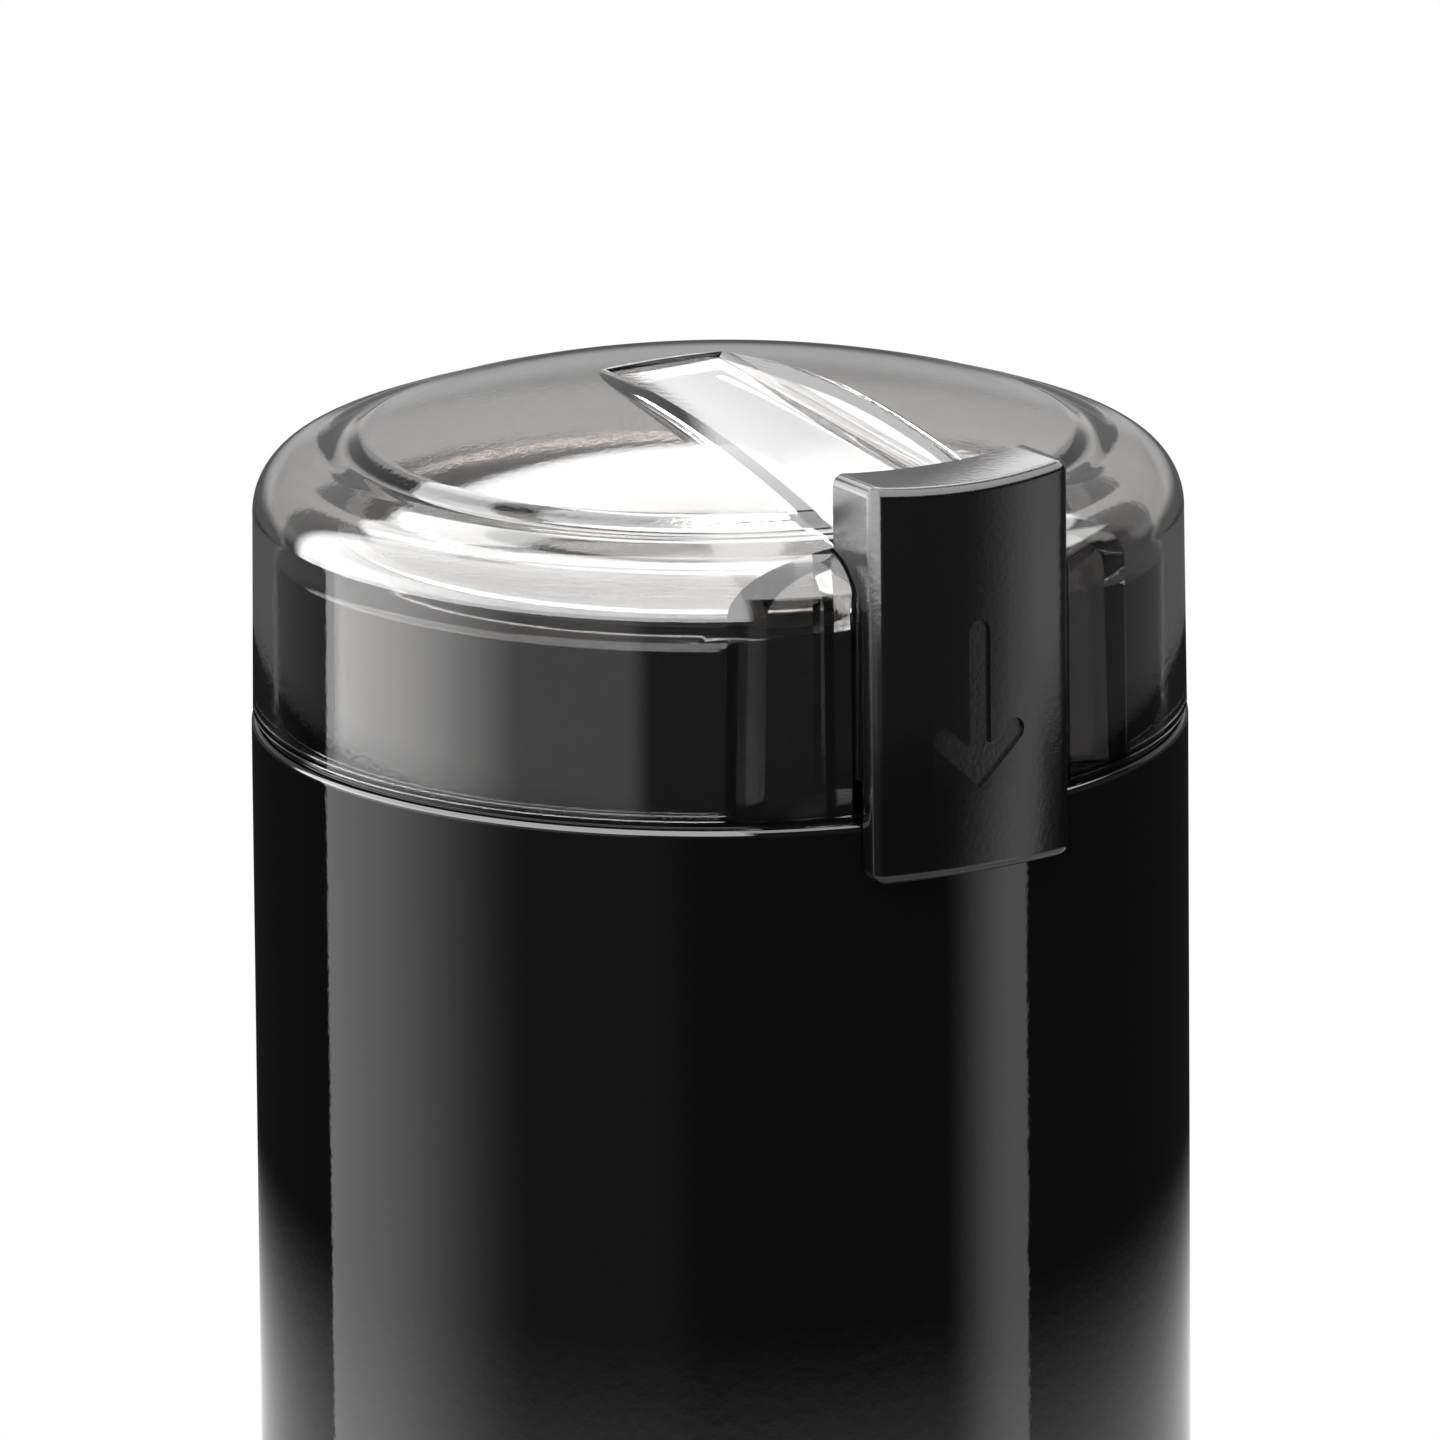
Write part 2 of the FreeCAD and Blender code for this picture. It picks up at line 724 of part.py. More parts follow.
def make_upper_bracket():
    """The upper bearing bracket: a bridge over the fan, on two legs."""
    bar = block(-bracket_half_width, bracket_half_width, -stator_half_y, stator_half_y,
                upper_bracket_bottom, upper_bracket_top)
    bracket = bar.fuse(cylinder(hub_radius, upper_bearing_bottom, upper_bracket_top + bearing_rim))
    leg_half = bracket_half_width - bracket_leg_narrowing
    for side in (-1, 1):
        y_low, y_high = sorted((side * bracket_leg_inner, side * stator_half_y))
        leg = block(-leg_half, leg_half, y_low, y_high, stator_top, upper_bracket_bottom)
        bracket = bracket.fuse(leg)
        bolt_hole = cylinder(bolt_radius + bolt_clearance, stator_top - past, upper_bracket_top + past,
                             0, side * bolt_offset)
        bush_hole = cylinder(screw_radius + screw_clearance, upper_bracket_bottom - past,
                             upper_bracket_top + past, 0, side * bush_offset)
        bracket = bracket.cut(bolt_hole).cut(bush_hole)
    return bracket.cut(cylinder(bearing_radius, stator_top, upper_bracket_top + bearing_rim + past))


def make_lower_bracket():
    """The lower bearing bracket: a cross with two legs and two brush pedestals."""
    cross = block(-bracket_half_width, bracket_half_width, -stator_half_y, stator_half_y,
                  lower_bracket_bottom, lower_bracket_top)
    arms = block(-holder_end, holder_end, -bracket_half_width, bracket_half_width,
                 lower_bracket_bottom, lower_bracket_top)
    hub = cylinder(hub_radius, lower_bearing_bottom, lower_bracket_top + bearing_rim)
    bracket = cross.fuse(arms).fuse(hub)
    pedestal_top = brush_height - brush_half_height - holder_wall
    leg_half = bracket_half_width - bracket_leg_narrowing
    for side in (-1, 1):
        y_low, y_high = sorted((side * bracket_leg_inner, side * stator_half_y))
        leg = block(-leg_half, leg_half, y_low, y_high, lower_bracket_top, stator_bottom)
        x_low, x_high = sorted((side * (holder_start + pedestal_inset), side * holder_end))
        pedestal = block(x_low, x_high, -brush_half_width, brush_half_width, lower_bracket_top, pedestal_top)
        bracket = bracket.fuse(leg).fuse(pedestal)
        bolt_hole = cylinder(bolt_radius + bolt_clearance, lower_bracket_bottom - past, stator_bottom + past,
                             0, side * bolt_offset)
        bracket = bracket.cut(bolt_hole)
    opening_top = lower_bracket_top + bearing_rim + past
    return bracket.cut(cylinder(bearing_radius, lower_bearing_bottom - past, opening_top))


def make_bearing(top):
    return ring(shaft_bore, bearing_radius, top - bearing_length, top)


def make_motor_bolts():
    """Two through bolts that clamp bracket, iron and bracket, with their nuts."""
    bolts = []
    nut_width = 2 * bolt_radius * nut_width_ratio
    for side in (-1, 1):
        y = side * bolt_offset
        head = cylinder(2 * bolt_radius, lower_bracket_bottom - bolt_head_height, lower_bracket_bottom, 0, y)
        stem = cylinder(bolt_radius, lower_bracket_bottom, upper_bracket_top + bolt_end, 0, y)
        nut = hexagon(nut_width, upper_bracket_top, upper_bracket_top + bolt_nut_height, 0, y)
        bolts.append(head.fuse(stem).fuse(nut))
    return Part.makeCompound(bolts)


def hexagon(across_flats, bottom, top, x=0.0, y=0.0):
    corner_radius = across_flats / math.sqrt(3)
    corners = []
    for index in range(7):
        dx, dy = polar(corner_radius, 60 * index)
        corners.append(Vector(x + dx, y + dy, bottom))
    return Part.Face(Part.makePolygon(corners)).extrude(Vector(0, 0, top - bottom))


def make_brush_holders():
    holders = []
    half_width = brush_half_width + holder_wall
    half_height = brush_half_height + holder_wall
    for side in (-1, 1):
        low, high = sorted((side * holder_start, side * holder_end))
        holder = block(low, high, -half_width, half_width,
                       brush_height - half_height, brush_height + half_height)
        low, high = sorted((side * (holder_start - past), side * (holder_end - holder_wall)))
        channel = block(low, high, -brush_half_width, brush_half_width,
                        brush_height - brush_half_height, brush_height + brush_half_height)
        holders.append(holder.cut(channel))
    return Part.makeCompound(holders)


def make_carbon_brushes():
    brushes = []
    for side in (-1, 1):
        low, high = sorted((side * (brush_tip - past), side * (brush_tip + brush_length)))
        brush = block(low, high, -brush_half_width, brush_half_width,
                      brush_height - brush_half_height, brush_height + brush_half_height)
        brushes.append(brush.cut(cylinder(brush_tip, lower_bracket_top, stator_bottom)))
    return Part.makeCompound(brushes)


def make_brush_springs():
    springs = []
    start = brush_tip + brush_length
    length = holder_end - holder_wall - start
    for turn in (90, -90):
        spring = wound_spring(brush_spring_radius, brush_spring_wire, brush_spring_turns, length)
        spring.translate(Vector(0, 0, start))
        spring.rotate(Vector(0, 0, 0), Vector(0, 1, 0), turn)
        spring.translate(Vector(0, 0, brush_height))
        springs.append(spring)
    return Part.makeCompound(springs)


# Rotor

def make_rotor_shaft():
    shaft = cylinder(shaft_radius, lower_bearing_bottom - shaft_below_bearing, blade_bottom)
    return shaft.fuse(cylinder(shaft_end_radius, blade_bottom, shaft_end))


def slot_places():
    return [polar(slot_circle, 360 * index / armature_slots) for index in range(armature_slots)]


def make_armature_core():
    """The slotted iron of the armature."""
    core = ring(shaft_radius, armature_radius, stator_bottom, stator_top)
    for index, (x, y) in enumerate(slot_places()):
        pocket = cylinder(slot_radius, stator_bottom - past, stator_top + past, x, y)
        mouth = block(slot_circle, armature_radius + past, -slot_mouth / 2, slot_mouth / 2,
                      stator_bottom - past, stator_top + past)
        mouth.rotate(Vector(0, 0, 0), Vector(0, 0, 1), 360 * index / armature_slots)
        core = core.cut(pocket).cut(mouth)
    return core


def make_armature_winding():
    """The copper winding: a bundle in each slot and a crown of wire at each end."""
    inner = shaft_radius + winding_gap
    crown_low = stator_bottom - winding_height
    crown_high = stator_top + winding_height
    crown = ring(inner, winding_radius, crown_low, stator_bottom)
    winding = crown.makeFillet(0.4 * winding_height, edges_on_circle(crown, winding_radius, crown_low))
    crown = ring(inner, winding_radius, stator_top, crown_high)
    high_edge = edges_on_circle(crown, winding_radius, crown_high)
    winding = winding.fuse(crown.makeFillet(0.4 * winding_height, high_edge))
    for x, y in slot_places():
        winding = winding.fuse(cylinder(slot_radius, stator_bottom - root, stator_top + root, x, y))
    return winding


def make_commutator():
    """Copper bars parted by narrow grooves, under a collar."""
    drum = ring(shaft_radius, commutator_radius, commutator_bottom, commutator_top)
    collar_radius = commutator_radius + collar_width
    drum = drum.fuse(ring(shaft_radius, collar_radius, commutator_top - collar_height, commutator_top))
    half = bar_groove_width / 2
    for index in range(commutator_bars):
        groove = block(commutator_radius - bar_groove_depth, collar_radius + past, -half, half,
                       commutator_bottom - past, commutator_top + past)
        groove.rotate(Vector(0, 0, 0), Vector(0, 0, 1), 360 * index / commutator_bars)
        drum = drum.cut(groove)
    return drum


def make_cooling_fan():
    """The fan: a disc on a hub with upright blades."""
    disc = ring(shaft_radius, fan_radius, fan_bottom, fan_bottom + fan_disc_thickness)
    fan = disc.fuse(ring(shaft_radius, 2 * shaft_radius, fan_bottom, fan_top))
    half = fan_blade_thickness / 2
    for index in range(fan_blades):
        vane = block(1.8 * shaft_radius, fan_radius - fan_blade_inset, -half, half,
                     fan_bottom + fan_disc_thickness / 2, fan_top)
        vane.rotate(Vector(0, 0, 0), Vector(0, 0, 1), 360 * index / fan_blades)
        fan = fan.fuse(vane)
    return fan


def make_grinding_blade():
    """Two wings on a round boss, one bent up and one bent down a little."""
    blade = cylinder(1.25 * blade_half_width, blade_bottom, blade_top)
    middle = 0.45 * blade_half_length
    for turn, bend in ((0, blade_bend_up), (180, -blade_bend_down)):
        inner = block(0, middle, -blade_half_width, blade_half_width, blade_bottom, blade_top)
        outer = block(middle - root, blade_half_length, -blade_half_width, blade_half_width,
                      blade_bottom, blade_top)
        outer = outer.common(cylinder(blade_half_length, blade_bottom, blade_top))
        outer.rotate(Vector(middle, 0, blade_bottom), Vector(0, 1, 0), -bend)
        wing = inner.fuse(outer)
        wing.rotate(Vector(0, 0, 0), Vector(0, 0, 1), turn)
        blade = blade.fuse(wing)
    return blade.cut(cylinder(shaft_end_radius, blade_bottom - past, blade_top + past))


def make_blade_nut():
    nut = hexagon(nut_across_flats, blade_top, nut_top)
    dome_top = nut_top + nut_dome_height
    dome = cylinder(nut_across_flats / 2, blade_top, dome_top)
    dome = dome.makeFillet(nut_dome_round, edges_on_circle(dome, nut_across_flats / 2, dome_top))
    return nut.fuse(dome).cut(cylinder(shaft_end_radius, blade_top - past, shaft_end))


# Switch

def make_switch_bracket():
    """The folded sheet that holds the switch and guides the plunger's stem."""
    front = plunger_offset + plunger_stem_radius + moving_gap + bracket_sheet
    back = switch_bracket_back
    half = switch_half_width + bracket_margin
    upright = block(-half, half, -switch_back, -back, mount_plate_top, switch_bracket_top)
    foot = block(-half, half, -(back + bracket_foot), -back, mount_plate_top, mount_plate_top + bracket_sheet)
    roof = block(-half / 2, half / 2, -front, -back, switch_bracket_top - bracket_sheet, switch_bracket_top)
    hole = cylinder(plunger_stem_radius + moving_gap, switch_bracket_top - bracket_sheet - past,
                    switch_bracket_top + past, 0, -plunger_offset)
    bracket = upright.fuse(foot).fuse(roof).cut(hole)
    for side in (-1, 1):
        bracket = bracket.cut(switch_screw_hole(side))
    return bracket


def switch_screw_hole(side):
    """The hole for one of the switch's screws, through the switch and the sheet."""
    start = Vector(side * switch_screw_offset, -switch_front - past, switch_bottom + switch_screw_height)
    length = switch_depth + bracket_sheet + 2 * past
    return Part.makeCylinder(switch_screw_radius + screw_clearance, length, start, Vector(0, 1, 0))


def make_microswitch():
    body = block(-switch_half_width, switch_half_width, -switch_front, -switch_back,
                 switch_bottom, switch_top)
    knob_top = switch_top + switch_button_height
    body = body.fuse(cylinder(switch_button_radius, switch_top - root, knob_top, 0, -plunger_offset))
    for side in (-1, 1):
        body = body.cut(switch_screw_hole(side))
    return body


def make_switch_terminals():
    blades = []
    middle = switch_back + switch_depth / 2
    half = terminal_thickness / 2
    for x in (-terminal_pitch, 0, terminal_pitch):
        blades.append(block(x - terminal_half_width, x + terminal_half_width, -middle - half, -middle + half,
                            switch_bottom - terminal_length, switch_bottom))
    return Part.makeCompound(blades)


def make_switch_screws():
    screws = []
    z = switch_bottom + switch_screw_height
    length = switch_depth + bracket_sheet
    along = Vector(0, 1, 0)
    for side in (-1, 1):
        x = side * switch_screw_offset
        stem = Part.makeCylinder(switch_screw_radius, length, Vector(x, -switch_front, z), along)
        head_start = Vector(x, -switch_front - switch_screw_head_height, z)
        head = Part.makeCylinder(switch_screw_head_radius, switch_screw_head_height, head_start, along)
        screws.append(stem.fuse(head))
    return Part.makeCompound(screws)


def make_switch_plunger():
    """The plunger under the ledge: a square head with a round stem."""
    half = plunger_flange_half
    head = block(-half, half, -plunger_offset - half, -plunger_offset + half,
                 plunger_flange_bottom, plunger_top)
    stem_top = plunger_flange_bottom + root
    return head.fuse(cylinder(plunger_stem_radius, stem_end, stem_top, 0, -plunger_offset))


def make_plunger_spring():
    spring = wound_spring(plunger_spring_radius, plunger_spring_wire, plunger_spring_turns,
                          plunger_spring_length)
    spring.translate(Vector(0, -plunger_offset, switch_bracket_top))
    return spring


# Electrical parts on the base cover

def make_terminal_block():
    """The block that joins the mains leads to the motor's, with two screw wells."""
    top = cover_top + block_height
    body = block(-block_half_width, block_half_width, block_offset, block_offset + block_depth,
                 cover_top, top)
    for side in (-1, 1):
        x = side * block_half_width / 2
        y = block_offset + block_depth / 2
        body = body.cut(cylinder(block_screw_radius, top - block_screw_depth, top + past, x, y))
        start = Vector(x, block_offset - past, cover_top + block_entry_height)
        body = body.cut(Part.makeCylinder(block_entry_radius, block_depth + 2 * past, start, Vector(0, 1, 0)))
    return body


def make_suppression_capacitor():
    case = block(capacitor_end - capacitor_length, capacitor_end, -capacitor_offset - capacitor_width,
                 -capacitor_offset, cover_top, cover_top + capacitor_height)
    upright = [edge for edge in case.Edges if abs(edge.BoundBox.ZLength - capacitor_height) < 1e-6]
    return case.makeFillet(capacitor_round, upright)


# Lid

def dome_solid(inset, bottom):
    """The lid's outline filled solid, moved inwards by a wall: wall, shoulder and dome."""
    centre_z = lid_top - dome_radius
    bend_x = lid_top_radius - shoulder_radius
    reach = dome_radius - shoulder_radius
    bend_z = centre_z + math.sqrt(reach ** 2 - bend_x ** 2)
    bend = shoulder_radius - inset
    dome = dome_radius - inset
    tilt = math.atan2(bend_x, bend_z - centre_z)
    half_turn = (math.pi / 2 + tilt) / 2

    def on_bend(angle):
        return Vector(bend_x + bend * math.sin(angle), 0, bend_z + bend * math.cos(angle))

    def on_dome(angle):
        return Vector(dome * math.sin(angle), 0, centre_z + dome * math.cos(angle))

    low = Vector(lid_radius - inset, 0, bottom)
    base = Vector(lid_radius - inset, 0, seam)
    edges = [Part.LineSegment(Vector(0, 0, bottom), low).toShape()]
    if bottom < seam:
        edges.append(Part.LineSegment(low, base).toShape())
    edges.append(Part.LineSegment(base, on_bend(math.pi / 2)).toShape())
    edges.append(Part.Arc(on_bend(math.pi / 2), on_bend(half_turn), on_bend(tilt)).toShape())
    edges.append(Part.Arc(on_dome(tilt), on_dome(tilt / 2), on_dome(0)).toShape())
    edges.append(Part.LineSegment(on_dome(0), Vector(0, 0, bottom)).toShape())
    return turned(edges)


def dome_height(distance):
    """Height of the dome's outside at a distance from the axis."""
    return lid_top - dome_radius + math.sqrt(dome_radius ** 2 - distance ** 2)


def groove_solid(inset):
    """The finger groove as a solid, or the groove grown by a wall."""
    back = -groove_back - inset
    front = channel_back + 3 * past
    slope_start = dome_height(groove_back) - groove_back_depth
    slope_end = dome_height(channel_back) - groove_front_depth
    slope = (slope_end - slope_start) / (channel_back + groove_back)
    spread = (groove_front_half_width - groove_back_half_width) / (channel_back + groove_back)
    top = lid_top + 4 * past
    wires = []
    for distance in (back, front):
        floor = slope_start + slope * (distance + groove_back) - inset
        half = groove_back_half_width + spread * (distance + groove_back) + inset
        wide = half + groove_side_slant * (top - floor)
        corners = [Vector(-half, -distance, floor), Vector(half, -distance, floor),
                   Vector(wide, -distance, top), Vector(-wide, -distance, top)]
        wires.append(Part.makePolygon(corners + corners[:1]))
    groove = Part.makeLoft(wires, True, True)
    floor_edges = []
    for edge in groove.Edges:
        box = edge.BoundBox
        if box.YLength > 0.9 * (front - back) and box.ZMax < top - root:
            floor_edges.append(edge)
    return groove.makeFillet(groove_round + inset, floor_edges)


def make_lid_shell():
    """The lid: wall and dome, a flat wall behind the button and its channel."""
    wide = 2 * lid_radius
    lid = dome_solid(0, seam)
    cavity = dome_solid(lid_wall, seam - past).cut(groove_solid(lid_wall))
    high = lid_top + 5 * past
    behind = cavity.common(block(-wide, wide, -chord_rear, wide, seam - 2 * past, high))
    lid = lid.cut(groove_solid(0)).cut(behind)
    for side in (-1, 1):
        x_low, x_high = sorted((side * return_wall_outer, side * wide))
        pocket = cavity.common(block(x_low, x_high, -wide, -channel_back, seam - 2 * past, high))
        lid = lid.cut(pocket)
    lid = lid.cut(block(-channel_half_width, channel_half_width, -wide, -channel_back, seam - past, high))
    step = ring(lid_inner_radius - 3 * past, lid_inner_radius + rim_step_depth,
                seam - past, seam + rim_step_height)
    step = step.common(block(-wide, wide, -chord_rear, wide, seam - 2 * past, high))
    return lid.cut(step)


# Button

def make_push_button():
    """The button: front plate, side walls, dished top, inner leg and spring shelf."""
    half = button_half_width
    outer = cylinder(button_front_radius, button_bottom, button_top)
    outer = outer.common(block(-half, half, -2 * body_radius, -button_back, button_bottom, button_top))
    corners = [edge for edge in outer.Edges if upright_front_edge(edge) or curved_edge(edge)]
    outer = outer.makeFillet(button_edge_round, corners)
    dish_radius = half ** 2 / (2 * button_top_dish)
    dish_centre = Vector(0, -2 * body_radius, button_top + dish_radius - button_top_dish)
    outer = outer.cut(Part.makeCylinder(dish_radius, 2 * body_radius, dish_centre, Vector(0, 1, 0)))
    outer = outer.cut(cylinder(apron_radius, button_bottom - past, button_skirt_bottom))
    inner = button_inner_half
    hollow = cylinder(apron_radius, button_skirt_bottom - past, button_roof)
    hollow = hollow.common(block(-inner, inner, -2 * body_radius, -button_back + past,
                                 button_skirt_bottom - past, button_top))
    button = outer.cut(hollow)
    leg = block(-leg_half_width, leg_half_width, -leg_front, -leg_back, leg_end, button_roof + root)
    rib_half = leg_rib_thickness / 2
    rib_bottom = guide_top + button_travel + moving_gap
    rib = block(-rib_half, rib_half, -apron_radius - root, -leg_front + root, rib_bottom, button_roof + root)
    shelf = block(-inner - root, inner + root, -2 * body_radius, -button_back,
                  shelf_bottom, shelf_bottom + spring_shelf_thickness)
    shelf = shelf.common(cylinder(apron_radius + root, seam, button_top))
    return button.fuse(leg).fuse(rib).fuse(shelf).cut(arrow_solid())


def upright_front_edge(edge):
    """The two long front edges of the button's blank."""
    box = edge.BoundBox
    return box.ZLength > lid_height and box.YMax < -(button_back + root)


def curved_edge(edge):
    """The curved front edges at the bottom and the top of the button's blank."""
    return isinstance(edge.Curve, Part.Circle)


def stroke(start, end, width):
    """A bar with a round start in the X-Z plane, thick along Y."""
    deep = 2 * body_radius
    dx = end[0] - start[0]
    dz = end[1] - start[1]
    length = math.hypot(dx, dz)
    bar = block(0, length, -deep, 0, -width / 2, width / 2)
    bar.rotate(Vector(0, 0, 0), Vector(0, 1, 0), -math.degrees(math.atan2(dz, dx)))
    bar.translate(Vector(start[0], 0, start[1]))
    cap = Part.makeCylinder(width / 2, deep, Vector(start[0], -deep, start[1]), Vector(0, 1, 0))
    return bar.fuse(cap)


def arrow_solid():
    """The sunk arrow that points the way the button is pressed."""
    tip = seam + arrow_point
    arm_root = tip + arrow_stroke * math.sqrt(0.5)
    arrow = stroke((0, seam + arrow_top - arrow_stroke / 2), (0, arm_root), arrow_stroke)
    for side in (-1, 1):
        arm = stroke((side * arrow_arm_reach, tip + arrow_arm_rise), (0, arm_root), arrow_stroke)
        arrow = arrow.fuse(arm)
    left = Vector(-arrow_head_half, 0, arm_root)
    right = Vector(arrow_head_half, 0, arm_root)
    point = Part.Face(Part.makePolygon([left, right, Vector(0, 0, tip), left]))
    arrow = arrow.fuse(point.extrude(Vector(0, -2 * body_radius, 0)))
    return arrow.cut(cylinder(button_front_radius - arrow_depth, ground_gap, button_top + past))


def make_button_guide():
    """The shelf on the lid's flat wall that guides the leg and carries the springs."""
    half = button_inner_half - guide_gap
    front = math.sqrt((apron_radius - moving_gap) ** 2 - half ** 2)
    plate = block(-half, half, -front, -channel_back, guide_bottom, guide_top)
    slot = block(-leg_half_width - moving_gap, leg_half_width + moving_gap, -leg_front - moving_gap,
                 -channel_back + past, guide_bottom - past, guide_top + past)
    guide = plate.cut(slot)
    post_radius = button_spring_radius - button_spring_wire / 2 - guide_post_gap
    for x in (-button_spring_offset, button_spring_offset):
        post = cylinder(post_radius, guide_top - root, guide_top + guide_post_height, x, -spring_middle())
        guide = guide.fuse(post)
    return guide


def spring_middle():
    """Distance from the axis to the button's springs, midway in its hollow beside them."""
    reach = button_spring_offset + button_spring_radius
    hollow_front = math.sqrt(apron_radius ** 2 - reach ** 2)
    return (button_back + hollow_front) / 2


def make_button_springs():
    springs = []
    for x in (-button_spring_offset, button_spring_offset):
        length = shelf_bottom - guide_top
        spring = wound_spring(button_spring_radius, button_spring_wire, button_spring_turns, length)
        spring.translate(Vector(x, -spring_middle(), guide_top))
        springs.append(spring)
    return Part.makeCompound(springs)


save(make_body_shell(), "body_shell")
save(make_bowl_carrier(), "bowl_carrier")
save(make_base_ring(), "base_ring")
save(make_base_cover(), "base_cover")
save(make_base_screws(), "base_screws")
save(make_rubber_feet(), "rubber_feet")
save(make_cord_gland(), "cord_gland")
save(make_grinding_bowl(), "grinding_bowl")
save(ring(bowl_outer_radius, bowl_flange_radius, neck_top, bowl_rim_bottom), "bowl_gasket")
save(make_shaft_seal(), "shaft_seal")
save(make_motor_mount_plate(), "motor_mount_plate")
save(make_mount_screws(), "mount_screws")
save(make_motor_bushes(), "motor_bushes")
save(make_bush_screws(), "bush_screws")
save(make_stator_core(), "stator_core")
save(make_field_coils(), "field_coils")
save(make_upper_bracket(), "upper_bearing_bracket")
save(make_lower_bracket(), "lower_bearing_bracket")
save(make_bearing(upper_bracket_top), "upper_bearing")
save(make_bearing(lower_bracket_top), "lower_bearing")
save(make_motor_bolts(), "motor_bolts")
save(make_brush_holders(), "brush_holders")
save(make_carbon_brushes(), "carbon_brushes")
save(make_brush_springs(), "brush_springs")
save(make_rotor_shaft(), "rotor_shaft")
save(make_armature_core(), "armature_core")
save(make_armature_winding(), "armature_winding")
save(make_commutator(), "commutator")
save(make_cooling_fan(), "cooling_fan")
save(make_grinding_blade(), "grinding_blade")
save(make_blade_nut(), "blade_nut")
save(make_switch_bracket(), "switch_bracket")
save(make_microswitch(), "microswitch")
save(make_switch_terminals(), "switch_terminals")
save(make_switch_screws(), "switch_screws")
save(make_switch_plunger(), "switch_plunger")
save(make_plunger_spring(), "plunger_spring")
save(make_terminal_block(), "terminal_block")
save(make_suppression_capacitor(), "suppression_capacitor")
save(make_lid_shell(), "lid_shell")
save(make_push_button(), "push_button")
save(make_button_guide(), "button_guide")
save(make_button_springs(), "button_springs")
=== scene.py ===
import math

import bmesh
import bpy
from mathutils import Matrix, Vector


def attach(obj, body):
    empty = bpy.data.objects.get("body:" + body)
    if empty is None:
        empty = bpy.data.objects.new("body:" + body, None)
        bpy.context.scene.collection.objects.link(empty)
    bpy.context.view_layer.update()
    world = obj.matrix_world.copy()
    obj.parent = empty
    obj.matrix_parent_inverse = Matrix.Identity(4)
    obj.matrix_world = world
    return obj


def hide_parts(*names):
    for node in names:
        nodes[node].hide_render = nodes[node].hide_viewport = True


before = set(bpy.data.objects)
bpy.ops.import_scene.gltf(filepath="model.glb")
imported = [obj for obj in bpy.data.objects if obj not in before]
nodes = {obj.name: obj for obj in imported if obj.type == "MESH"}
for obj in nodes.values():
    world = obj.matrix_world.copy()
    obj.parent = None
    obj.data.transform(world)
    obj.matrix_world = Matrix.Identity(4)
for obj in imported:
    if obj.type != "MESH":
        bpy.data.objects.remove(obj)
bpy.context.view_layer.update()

# Motor housing: a tube moulded in gloss-black plastic, polished, with a rounded
# rim and a step inside its mouth, on which the bowl carrier is welded.
MM = 0.001
HOUSING_STEPS = 240
BODY_RADIUS = 44.13
BODY_INSIDE = 41.93
BODY_BOTTOM = 1.5
LEDGE = 133.3
SEAM = 134.0
RIM_ROUND = 0.6
BASE_TOP = 19.7
JOINT_LOW = 18.25
JOINT_RADIUS = 43.03
SEAT_RADIUS = 43.3
NECK_RADIUS = 41.6
NECK_TOP = 150.5
NECK_FLAT = 35.8
NECK_HOLE = 33.9
NECK_INSIDE = 39.6
NECK_ROUND = 0.6
FLAT_WALL = 1.8
FLANGE = 2.0
CARRIER_FIT = 0.05
FOOT_ROUND = 0.4
JOINT_LINE = 0.02
JOINT_EDGE = 0.15
EDGE_SUPPORT = 0.2
GLOSS_BLACK = (0.0042, 0.0043, 0.0047, 1)


def arc(centre_r, centre_z, radius, start, end, count):
    """Points along an arc in a half-section, with angles in degrees from outwards."""
    turns = [math.radians(start + (end - start) * i / count) for i in range(count + 1)]
    return [(centre_r + radius * math.cos(t), centre_z + radius * math.sin(t)) for t in turns]


def lathe(outline, steps, closed=True):
    """A bmesh turned about Z from a half-section of (radius, height) points."""
    bm = bmesh.new()
    verts = [bm.verts.new((r, 0, z)) for r, z in outline]
    pairs = list(zip(verts, verts[1:]))
    if closed:
        pairs.append((verts[-1], verts[0]))
    edges = [bm.edges.new(pair) for pair in pairs]
    bmesh.ops.spin(bm, geom=verts + edges, axis=(0, 0, 1), cent=(0, 0, 0), dvec=(0, 0, 0),
                   angle=2 * math.pi, steps=steps, use_merge=True)
    bmesh.ops.remove_doubles(bm, verts=bm.verts, dist=0.0005)
    bmesh.ops.recalc_face_normals(bm, faces=bm.faces)
    return bm


def as_piece(bm, name, material, body, replaced=(), sharp=32):
    """Turn a bmesh in millimetres into a finished piece that rides on a body."""
    bmesh.ops.scale(bm, vec=(MM, MM, MM), verts=bm.verts)
    mesh = bpy.data.meshes.new(name)
    bm.to_mesh(mesh)
    bm.free()
    piece = bpy.data.objects.new(name, mesh)
    bpy.context.scene.collection.objects.link(piece)
    mesh.materials.append(material)
    mesh.shade_smooth()
    mesh.set_sharp_from_angle(angle=math.radians(sharp))
    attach(piece, body)
    if replaced:
        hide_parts(*replaced)
    return piece


def finish_of(name, color, roughness, metallic=0.0, ior=1.5):
    """A principled finish with its plain numbers on the shader's own sockets."""
    material = bpy.data.materials.new(name)
    material.use_nodes = True
    shader = material.node_tree.nodes["Principled BSDF"]
    shader.inputs["Base Color"].default_value = color
    shader.inputs["Roughness"].default_value = roughness
    shader.inputs["Metallic"].default_value = metallic
    shader.inputs["IOR"].default_value = ior
    return material


def add_node(material, kind, **settings):
    """A new node with values for its sockets or its own settings."""
    node = material.node_tree.nodes.new(kind)
    for key, value in settings.items():
        if key in node.inputs:
            node.inputs[key].default_value = value
        else:
            setattr(node, key, value)
    return node


def wire(material, source, output, target, entry):
    """Join an output of one node to an input of another."""
    material.node_tree.links.new(source.outputs[output], target.inputs[entry])


